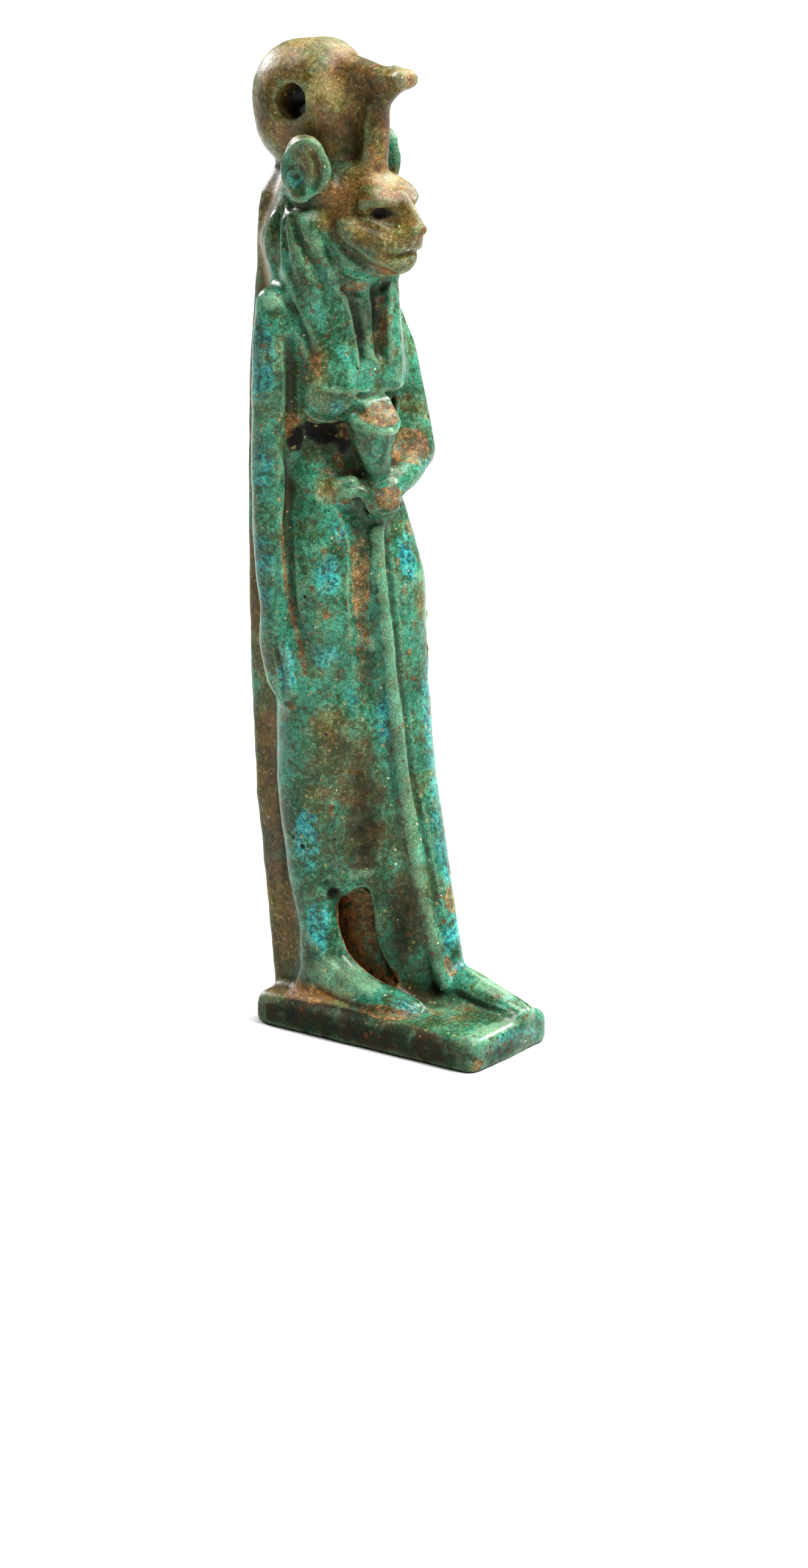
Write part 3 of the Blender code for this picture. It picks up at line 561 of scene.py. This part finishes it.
BARE_LINES = [
    ([(-6.2, 4.0, 43.0), (-6.3, 4.2, 39.9), (-6.2, 4.5, 36.1), (-6.1, 5.0, 34.0), (-5.9, 5.6, 31.6),
      (-5.8, 5.8, 30.0)], 0.4, 1.0),
    ([(-2.9, 6.6, 8.9), (-2.7, 6.8, 7.0), (-2.4, 7.1, 5.5), (-2.2, 7.8, 3.9), (-2.0, 8.9, 2.9), (-1.6, 10.6, 1.9),
      (-1.2, 12.2, 1.1)], 0.42, 1.2),
    ([(-5.1, 5.1, 52.8), (-3.6, 6.3, 51.9), (-2.0, 7.0, 52.0)], 0.5, 0.6)]
BLUE = [(-7.8, 2.4, 57.5, 1.5, 2.2, 5.0, 1.1), (-7.8, 2.4, 48.5, 1.3, 1.8, 4.0, 0.9),
        (-7.5, 2.4, 39.0, 1.2, 1.8, 5.5, 0.8), (-6.8, 4.5, 30.2, 0.8, 1.1, 3.2, 1.2),
        (5.0, 10.5, 47.8, 1.1, 1.1, 1.0, 1.3), (-4.0, 7.0, 38.6, 1.8, 1.7, 2.6, 0.9),
        (-3.2, 7.8, 42.6, 1.2, 1.2, 1.8, 0.9), (-4.4, 7.0, 31.5, 1.8, 1.7, 1.8, 0.8),
        (-5.5, 5.8, 14.8, 1.5, 1.6, 3.6, 1.3), (-0.9, 10.8, 25.5, 1.2, 1.2, 3.2, 1.0),
        (4.4, 11.6, 24.0, 2.4, 3.8, 9.0, 1.2), (4.0, 13.6, 15.0, 2.4, 3.4, 8.0, 1.3),
        (3.4, 15.6, 4.4, 2.2, 2.0, 4.4, 1.4), (-4.4, 6.2, 6.4, 1.3, 1.4, 4.0, 1.1),
        (0.3, 25.2, -1.7, 7.0, 1.6, 2.2, 0.75), (-3.8, 15.4, 0.6, 1.8, 2.0, 1.0, 0.9),
        (4.2, 9.0, 55.6, 0.8, 0.9, 0.9, 1.1), (-3.4, 7.6, 53.5, 1.7, 1.3, 1.3, 0.9),
        (-3.2, 7.8, 57.4, 0.9, 0.9, 2.0, 0.8), (-5.9, 4.7, 73.3, 0.8, 1.1, 1.1, 1.4),
        (2.4, 11.0, 40.0, 1.4, 1.6, 4.0, 1.0), (7.2, 6.4, 55.0, 1.6, 2.2, 3.6, 0.9),
        (7.2, 5.0, 60.0, 1.5, 2.0, 3.0, 0.8), (0.2, 9.6, 49.6, 0.8, 1.0, 1.0, 0.8),
        (-0.6, 9.2, 75.6, 1.0, 1.2, 1.0, 0.8), (6.4, 8.0, 30.0, 1.6, 2.4, 7.0, 0.9),
        (-3.0, 9.0, 27.5, 1.4, 1.2, 2.0, 0.7)]
# Painted highlights on tops, ridges and edges that catch the light (disc top, forehead, cobra tip, shoulders,
# lappet, ledge, fist, legs, feet, plinth edge), with a few real pale specks
PALE_SPECKS_AND_PAINTED_HIGHLIGHTS = [(5.0, 8.2, 58.0, 1.0, 1.3, 6.0, 0.6), (-0.3, 11.0, 51.2, 2.4, 0.8, 0.5, 0.9),
        (-4.0, 9.0, 2.2, 2.4, 5.5, 2.4, 1.2), (-6.6, 3.0, 62.6, 1.5, 1.7, 1.2, 1.0),
        (0, 9.0, 54.3, 6.0, 1.0, 0.7, 0.6), (5.6, 9.8, 36.0, 1.3, 1.8, 9.0, 0.8),
        (5.0, 11.8, 24.0, 1.0, 1.6, 9.0, 0.6), (-5.2, 6.7, 67.8, 0.8, 1.1, 2.2, 0.8),
        (-4.0, 6.1, 45.5, 0.55, 0.55, 0.6, 1.6), (2.8, 20.4, 1.8, 1.4, 4.0, 1.1, 1.1),
        (-1.0, 24.0, -0.2, 7.0, 1.7, 0.6, 0.9), (-4.3, 9.4, 1.7, 1.3, 3.4, 1.2, 1.1),
        (-3.0, 7.5, 42.1, 0.3, 0.35, 0.35, 1.4), (-1.3, 9.6, 32.0, 0.45, 0.5, 0.95, 2.6),
        (-1.6, 9.4, 30.6, 0.5, 0.5, 0.35, 1.3), (-4.9, 5.8, 43.2, 0.3, 0.3, 0.35, 1.2),
        (3.0, 11.0, 43.0, 0.5, 0.5, 1.0, 0.9), (-5.0, 3.4, 62.4, 1.4, 1.6, 1.0, 0.8),
        (-6.6, 3.8, 50.0, 0.9, 0.9, 14.0, 0.5), (0, 4.5, 84.4, 4.0, 4.5, 1.8, 0.8),
        (-2.6, 8.6, 72.6, 1.2, 1.6, 1.2, 0.45), (0.7, 10.8, 46.9, 1.0, 0.9, 0.7, 0.9),
        (-1.6, 7.6, 47.4, 1.0, 0.8, 0.5, 0.8), (2.5, 9.8, 51.0, 0.7, 1.2, 2.0, 0.6),
        (-3.1, 9.6, 69.2, 0.5, 0.8, 0.5, 0.3), (0.5, 13.4, 13.0, 0.7, 0.9, 9.0, 0.35),
        (0, 12.3, 82.0, 1.5, 1.7, 1.3, 1.3), (0, 11.0, 73.2, 2.6, 2.4, 1.3, 0.75),
        (-3.0, 6.0, 80.5, 3.0, 3.0, 3.5, 0.6), (4.0, 13.0, 18.0, 2.4, 3.0, 9.0, 0.55)]
# Painted shade where the figure shades itself: under the breast, in the palm and the slot above the umbel, in the
# eyes and hood grooves, between the legs, beside the back pillar and on the plinth's sides; the smallest few are
# real dark pits
PAINTED_SHADE_AND_PITS = [(-2.7, 5.6, 51.3, 2.5, 2.4, 2.2, 1.4), (-1.8, 6.8, 50.4, 1.2, 1.2, 2.2, 1.1),
        (-4.8, 4.0, 50.4, 1.2, 1.2, 2.0, 1.2), (-1.0, 9.3, 44.2, 1.0, 0.8, 0.6, 1.2),
        (-2.2, 8.2, 44.6, 0.6, 0.8, 0.6, 1.0), (-3.8, 7.4, 9.6, 1.0, 0.8, 0.9, 1.3),
        (-2.7, 8.9, 14.0, 0.9, 1.2, 5.0, 0.75), (-1.6, 9.8, 9.6, 2.2, 1.6, 1.5, 0.7),
        (0.0, 12.0, 6.4, 1.5, 2.4, 6.5, 1.0), (-6.8, 12.0, -2.4, 2.6, 18.0, 3.2, 3.4),
        (0, 25.6, -3.0, 6.0, 0.8, 0.6, 0.8), (-1.7, 7.4, 77.4, 0.7, 0.9, 3.0, 0.9),
        (1.7, 7.4, 77.4, 0.7, 0.9, 3.0, 0.9), (-2.2, 11.7, 70.35, 1.7, 1.7, 0.9, 0.95),
        (2.2, 11.7, 70.35, 1.7, 1.7, 0.9, 0.95), (2.2, 9.6, 53.0, 0.9, 1.0, 0.8, 0.9),
        (-2.0, 9.8, 16.5, 3.4, 3.2, 10.0, 0.8), (0, 25.6, -2.2, 7.5, 1.3, 2.6, 1.3),
        (-4.6, 7.6, 69.4, 1.6, 2.2, 2.4, 0.55), (-3.2, 7.2, 54.6, 2.2, 1.6, 1.8, 0.8),
        (-7.8, 2.4, 58.0, 1.5, 2.2, 5.0, 0.6), (-5.7, 4.1, 15.0, 0.3, 0.3, 0.3, 1.5),
        (-5.6, 5.4, 14.1, 0.35, 0.35, 0.35, 1.5), (-5.6, 5.8, 36.7, 0.3, 0.3, 0.3, 1.4),
        (-3.6, 1.6, 28.0, 1.4, 1.3, 28.0, 1.0), (0.8, 15.6, 1.6, 1.0, 1.4, 1.6, 0.7)]


class WearAndPaintedLight:
    """Marks on the finished skin, one value for each point, which the glaze reads. Some are wear and stains; others
    carry painted shade in sheltered places and painted highlights on ridges and tops.
    """

    def __init__(self, piece):
        self.skin = Skin(piece)
        self.mesh = piece.data
        self.shape()
        self.keep("shelter", self.shelter())
        for name, patches in (("khaki", KHAKI), ("bare", BARE), ("blue", BLUE), ("pale", PALE_SPECKS_AND_PAINTED_HIGHLIGHTS), ("dark", PAINTED_SHADE_AND_PITS)):
            self.keep(name, self.patches(patches, BARE_LINES if name == "bare" else []))

    def keep(self, name, values):
        """Stores a mark on the piece, for the material to read."""
        attribute = self.mesh.attributes.new(name, "FLOAT", "POINT")
        attribute.data.foreach_set("value", values)

    def shape(self):
        """How far the skin lies below what is close by and further round: less than nothing on a ridge."""
        mean, done = self.skin.places, 0
        for name, passes, scale in RELIEF:
            for _ in range(passes - done):
                mean = self.skin.spread(mean)
            done = passes
            self.keep(name, ((mean - self.skin.places) * self.skin.normals).sum(1) / scale)

    def shelter(self):
        """How much of the open air in front of each point the figure itself closes off."""
        faces = [tuple(face.vertices) for face in self.mesh.polygons]
        cast = BVHTree.FromPolygons(self.skin.places.tolist(), faces).ray_cast
        steps = np.arange(SHELTER_RAYS) + 0.5
        rise = 1 - 2 * steps / SHELTER_RAYS
        turn = math.pi * (1 + 5 ** 0.5) * steps
        level = np.sqrt(1 - rise ** 2)
        rays = np.stack([level * np.cos(turn), level * np.sin(turn), rise], 1)
        facing = self.skin.normals @ rays.T
        vectors = [Vector(ray) for ray in rays.tolist()]
        starts = (self.skin.places + self.skin.normals * SHELTER_START).tolist()
        closed = np.zeros(len(starts))
        for row, (start, shares) in enumerate(zip(starts, facing.tolist())):
            blocked = total = 0.0
            for vector, share in zip(vectors, shares):
                if share > SHELTER_SLANT:
                    total += share
                    gap = cast(start, vector, SHELTER_REACH)[3]
                    if gap is not None:
                        blocked += share * (1 - 0.5 * gap / SHELTER_REACH)
            closed[row] = blocked / total
        closed = closed[:, None]
        for _ in range(SHELTER_PASSES):
            closed = self.skin.spread(closed)
        return closed[:, 0]

    def patches(self, patches, lines):
        """How strongly these patches and lines mark each point."""
        values = np.zeros(self.skin.count)
        for x, forward, up, wide, deep, tall, strength in patches:
            gap = (((self.skin.places - spot(x, forward, up)) / (wide, deep, tall)) ** 2).sum(1)
            values = np.maximum(values, strength * np.clip(1 - gap, 0, 1))
        for points, width, strength in lines:
            path, faces, _ = self.skin.line(points)
            rows, shares, _ = self.skin.near(path, faces, width)
            values[rows] = np.maximum(values[rows], strength * np.sqrt(shares))
        return values


# ---- The glaze

GLAZE_SHINE = 0.17
BUMP_STRENGTH = 0.5
BUMP_DEPTH = 0.06
SEED_STEP = (0.137, 0.071, 0.113)


class Value:
    """A shader socket, so that maths on it is written as an expression."""

    def __init__(self, paint, socket):
        self.paint = paint
        self.socket = socket

    def maths(self, operation, *terms):
        return self.paint.node("Math", {"operation": operation}, *terms)

    def __add__(self, other):
        return self.maths("ADD", self, other)

    __radd__ = __add__

    def __sub__(self, other):
        return self.maths("SUBTRACT", self, other)

    def __rsub__(self, other):
        return self.maths("SUBTRACT", other, self)

    def __mul__(self, other):
        return self.maths("MULTIPLY", self, other)

    __rmul__ = __mul__

    def most(self, other):
        return self.maths("MAXIMUM", self, other)


class Paint:
    """A material that is put together node by node."""

    def __init__(self, name):
        self.material = bpy.data.materials.new(name)
        self.material.use_nodes = True
        self.tree = self.material.node_tree
        self.shader = self.tree.nodes["Principled BSDF"]
        self.here = self.node("TexCoord", {}, output="Object")

    def node(self, kind, settings, *inputs, output=0, **named):
        made = self.tree.nodes.new("ShaderNode" + kind)
        for name, value in settings.items():
            setattr(made, name, value)
        for key, value in [*enumerate(inputs), *((k.replace("_", " "), v) for k, v in named.items())]:
            self.feed(made.inputs[key], value)
        return Value(self, made.outputs[output])

    def feed(self, socket, value):
        if isinstance(value, Value):
            self.tree.links.new(value.socket, socket)
        else:
            socket.default_value = value

    def moved(self, seed):
        """The place on the piece, shifted so that each pattern has its own."""
        return self.node("VectorMath", {"operation": "ADD"}, self.here, tuple(seed * step for step in SEED_STEP))

    def noise(self, size, detail, roughness, seed):
        """Clouds about this many millimetres wide, from 0 to 1."""
        return self.node("TexNoise", {}, Vector=self.moved(seed), Scale=1 / (size * MM), Detail=detail,
                         Roughness=roughness)

    def spots(self, size, reach, share, seed):
        """Round spots, one in each of a share of the cells of this size: 1 in a spot and 0 outside."""
        cell = self.node("TexVoronoi", {}, Vector=self.moved(seed), Scale=1 / (size * MM), output="Distance")
        chosen = self.node("TexVoronoi", {}, Vector=self.moved(seed), Scale=1 / (size * MM), output="Color")
        lot = self.node("SeparateColor", {}, chosen)
        return (1 - self.step(cell, reach * 0.6, reach)) * self.step(lot, 1 - share, 1.02 - share)

    def step(self, value, start, end):
        """0 up to start and 1 from end, with a soft rise between."""
        return self.node("MapRange", {"interpolation_type": "SMOOTHSTEP"}, value, start, end, 0.0, 1.0)

    def mix(self, share, under, over, blend="MIX"):
        """One colour laid over another by a share."""
        made = self.tree.nodes.new("ShaderNodeMix")
        made.data_type = "RGBA"
        made.blend_type = blend
        for index, value in ((0, share), (6, under), (7, over)):
            self.feed(made.inputs[index], value if isinstance(value, (Value, float, int)) else (*value, 1.0))
        return Value(self, made.outputs[2])

    def mark(self, name):
        """A value that is kept on each point."""
        return self.node("Attribute", {"attribute_name": name}, output="Fac")

    def patch(self, name, size, seed, raggedness, start, end):
        """A mark on the skin with a ragged edge."""
        return self.step(self.mark(name) + (self.noise(size, 4.0, 0.62, seed) - 0.5) * raggedness, start, end)


def glaze():
    """Copper glaze, worn brown on head and back, with bare, blue, pale and dark places, painted shade in its
    hollows and creases, and painted highlights on ridges, tops and edges.
    """
    paint = Paint("faience_glaze")
    clouds = paint.noise(5.0, 3.0, 0.55, seed=1)
    mottle = paint.noise(1.3, 5.0, 0.62, seed=2)
    fine = paint.noise(0.38, 3.0, 0.6, seed=3)
    grain = paint.noise(0.13, 2.0, 0.6, seed=4)
    crease, hollow, shelter = paint.mark("crease"), paint.mark("hollow"), paint.mark("shelter")
    khaki = paint.patch("khaki", 1.8, 5, 1.0, 0.2, 0.95)
    bare = paint.patch("bare", 1.0, 6, 1.3, 0.3, 0.7)
    bare = bare * (0.45 + 0.55 * paint.step(paint.noise(0.7, 3.0, 0.6, seed=21), 0.38, 0.56))
    blue = paint.patch("blue", 1.0, 7, 1.2, 0.25, 0.8)
    # The pale mark is mostly painted highlight with a few pale specks; the dark mark is mostly painted shade with a
    # few dark pits
    pale = paint.patch("pale", 0.9, 8, 1.1, 0.3, 0.8)
    dark = paint.patch("dark", 1.2, 19, 0.7, 0.15, 1.1)

    # The copper glaze: sea green and turquoise clouds, blue where it is thick, olive and brown where it is thin
    colour = paint.mix(paint.step(clouds * 0.5 + mottle * 0.5, 0.42, 0.58), (0.014, 0.056, 0.023),
                       (0.032, 0.19, 0.122))
    colour = paint.mix(paint.step(paint.noise(2.6, 5.0, 0.65, seed=9), 0.5, 0.62) * 0.8, colour,
                       (0.05, 0.068, 0.022))
    colour = paint.mix(paint.step(paint.noise(1.1, 4.0, 0.65, seed=20), 0.56, 0.66) * 0.7, colour,
                       (0.075, 0.045, 0.016))
    colour = paint.mix(blue * paint.step(mottle, 0.35, 0.6), colour,
                       paint.mix(paint.step(fine, 0.4, 0.6), (0.007, 0.12, 0.15), (0.036, 0.32, 0.3)))
    colour = paint.mix(paint.step(fine, 0.5, 0.66) * 0.42, colour, (0.07, 0.28, 0.16))
    colour = paint.mix(paint.step(fine, 0.48, 0.34) * 0.6, colour, (0.01, 0.028, 0.01))
    # Painted highlight: the pale mark lightens the green glaze, apart from a few real pale specks
    colour = paint.mix(pale * 0.5, colour, (0.17, 0.29, 0.17))

    # The worn and stained glaze of head, sun disc and back
    dull = paint.mix(paint.step(mottle * 0.6 + clouds * 0.4, 0.4, 0.6), (0.05, 0.037, 0.004), (0.135, 0.092, 0.018))
    dull = paint.mix(paint.step(paint.noise(3.0, 3.0, 0.6, seed=10), 0.52, 0.66) * 0.55, dull, (0.05, 0.072, 0.012))
    dull = paint.mix(paint.step(paint.noise(2.4, 3.0, 0.6, seed=11), 0.46, 0.64) * 0.7, dull, (0.16, 0.072, 0.026))
    dull = paint.mix(paint.step(fine, 0.52, 0.7) * 0.6, dull, (0.3, 0.2, 0.07))
    dull = paint.mix(paint.step(fine, 0.48, 0.3) * 0.6, dull, (0.03, 0.02, 0.006))
    # Painted highlight on the worn forehead, sun disc top and cobra tip
    dull = paint.mix(pale * 0.4, dull, (0.32, 0.25, 0.12))
    colour = paint.mix(khaki, colour, dull)

    # The fired body where the glaze has gone
    body = paint.mix(paint.step(mottle, 0.38, 0.62), (0.075, 0.034, 0.01), (0.24, 0.105, 0.03))
    body = paint.mix(paint.step(fine, 0.48, 0.7) * 0.6, body, (0.38, 0.22, 0.09))
    body = paint.mix(paint.step(fine, 0.48, 0.32) * 0.7, body, (0.05, 0.03, 0.012))
    # Painted light: the bare body is made lighter and redder where it is sheltered, to lift the shade that falls
    # there
    body = paint.mix(paint.step(shelter, 0.25, 0.6) * 0.7, body, (0.42, 0.14, 0.02))
    colour = paint.mix(bare * 0.85, colour, body)

    # Painted shade: sheltered hollows, the shade patches and creases are darkened to brown-green and black; ridges
    # are lightened, partly wear and partly painted highlight
    deep = paint.step(shelter + hollow * 0.15 + (mottle - 0.5) * 0.3, 0.15, 0.65)
    painted_shade_tone = paint.mix(paint.step(paint.noise(1.6, 3.0, 0.6, seed=12), 0.42, 0.58), (0.012, 0.026, 0.01),
                     (0.045, 0.022, 0.007))
    kept = 1 - bare * 0.9
    # Painted shade: deep and shaded places take a dark brown-green
    colour = paint.mix(deep.most(dark) * 0.85 * kept, colour, painted_shade_tone)
    # Painted shade: the most sheltered places go nearly black
    colour = paint.mix(paint.step(shelter + hollow * 0.1 + dark * 0.68, 0.45, 0.8) * kept, colour,
                       (0.003, 0.002, 0.001))
    # Painted shade along the creases
    line = paint.step(crease + (fine - 0.5) * 0.7, 0.6, 1.9)
    colour = paint.mix(line * 0.45 * kept, colour, (0.015, 0.014, 0.005))
    # Lighter ridges: partly thin, worn glaze and partly painted highlight
    worn_and_highlit = paint.step(crease * -1.0 + (fine - 0.5) * 0.9, 0.4, 1.4) * (1 - deep) * kept * (1 - khaki * 0.4)
    colour = paint.mix(worn_and_highlit * 0.45, colour, (0.14, 0.26, 0.15))

    # Freckles in the glaze
    rust = paint.spots(1.7, 0.2, 0.4, 13).most(paint.spots(0.9, 0.2, 0.35, 14))
    colour = paint.mix(rust * 0.7, colour, (0.1, 0.035, 0.01))
    ochre = paint.spots(1.2, 0.17, 0.4, 15).most(paint.spots(0.6, 0.2, 0.4, 18))
    colour = paint.mix(ochre * 0.6, colour, (0.28, 0.23, 0.09))
    speck = paint.spots(1.5, 0.08, 0.4, 16)
    colour = paint.mix(speck * 0.8, colour, (0.6, 0.62, 0.5))
    pit = paint.spots(2.3, 0.09, 0.4, 17)
    colour = paint.mix(pit, colour, (0.008, 0.01, 0.006))
    colour = paint.mix(0.6, colour, paint.mix(paint.step(grain, 0.3, 0.7), (0.2, 0.2, 0.2), (1.7, 1.7, 1.7)),
                       "MULTIPLY")
    swell = paint.step(paint.noise(3.4, 2.0, 0.5, seed=22), 0.36, 0.64)
    colour = paint.mix(1.0, colour, paint.mix(swell, (0.72, 0.66, 0.62), (1.12, 1.14, 1.12)), "MULTIPLY")
    paint.feed(paint.shader.inputs["Base Color"], colour)

    dry = bare.most(khaki * 0.4).most(line * 0.5)
    paint.feed(paint.shader.inputs["Roughness"], 0.22 + 0.14 * mottle + 0.4 * dry + 0.5 * dark)
    paint.shader.inputs["Specular IOR Level"].default_value = GLAZE_SHINE
    height = fine * 0.6 + grain * 0.4 + mottle * 0.8 - pit * 1.2 - rust * 0.4
    height = height + khaki * grain * 0.5 + bare * grain * 0.8
    bump = paint.node("Bump", {}, Strength=BUMP_STRENGTH, Distance=BUMP_DEPTH * MM, Height=height)
    paint.feed(paint.shader.inputs["Normal"], bump)
    return paint.material


# ---- The studio

FLOOR_SIZE = 6
FLOOR_TONE = 0.5
AIR_LIGHT = 0.06
MIDDLE = Vector((0, 0, 0.045))

# Where the photograph was taken from, in metres and degrees
CAMERA_PLACE = (-0.31772, -0.25417, 0.12658)
CAMERA_TURN = -51.34
CAMERA_DROP = 14.3
CAMERA_ROLL = 0.22
CAMERA_LENS = 108.96


def floor():
    """A plain pale ground."""
    bpy.ops.mesh.primitive_plane_add(size=FLOOR_SIZE)
    ground = bpy.context.object
    ground.name = "pale_floor"
    material = bpy.data.materials.new("pale_floor")
    material.use_nodes = True
    shader = material.node_tree.nodes["Principled BSDF"]
    shader.inputs["Base Color"].default_value = (FLOOR_TONE, FLOOR_TONE, FLOOR_TONE, 1)
    shader.inputs["Roughness"].default_value = 0.9
    shader.inputs["Specular IOR Level"].default_value = 0.1
    ground.data.materials.append(material)


def softbox(name, azimuth, elevation, distance, size, power):
    """A square lamp that looks at the figure's middle."""
    data = bpy.data.lights.new(name, "AREA")
    data.size = size
    data.energy = power
    lamp = bpy.data.objects.new(name, data)
    bpy.context.scene.collection.objects.link(lamp)
    turn, rise = math.radians(azimuth), math.radians(elevation)
    away = Vector((math.cos(turn) * math.cos(rise), math.sin(turn) * math.cos(rise), math.sin(rise)))
    lamp.location = MIDDLE + away * distance
    lamp.rotation_euler = away.to_track_quat("Z", "Y").to_euler()


def light():
    """Soft light from above, a key from her front, and rims that draw both of her edges in the camera's view."""
    softbox("ceiling", 5, 68, 2.4, 1.3, 86.0)
    softbox("key", -82, 56, 1.2, 0.3, 27.0)
    softbox("right rim", -8, 32, 1.2, 0.3, 18.0)
    softbox("left rim", 82, 26, 1.2, 0.3, 22.0)
    softbox("sparkle", -125, 60, 1.0, 0.12, 3.5)
    world = bpy.data.worlds.new("studio")
    world.use_nodes = True
    world.node_tree.nodes["Background"].inputs["Color"].default_value = (1, 1, 1, 1)
    world.node_tree.nodes["Background"].inputs["Strength"].default_value = AIR_LIGHT
    bpy.context.scene.world = world


def camera():
    """Stands where the photograph was taken from."""
    data = bpy.data.cameras.new("camera")
    data.lens = CAMERA_LENS
    data.clip_start = 0.01
    eye = bpy.data.objects.new("camera", data)
    bpy.context.scene.collection.objects.link(eye)
    turn = Matrix.Rotation(math.radians(CAMERA_TURN), 4, "Z") @ Matrix.Rotation(math.radians(90 - CAMERA_DROP), 4,
                                                                                "X")
    roll = Matrix.Rotation(math.radians(CAMERA_ROLL), 4, "Z")
    eye.matrix_world = Matrix.Translation(CAMERA_PLACE) @ turn @ roll
    bpy.context.scene.camera = eye


amulet = carve()
WearAndPaintedLight(amulet)
amulet.data.materials.clear()
amulet.data.materials.append(glaze())
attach(amulet, "root")
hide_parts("amulet")
floor()
light()
camera()
bpy.context.scene.view_settings.view_transform = "Standard"
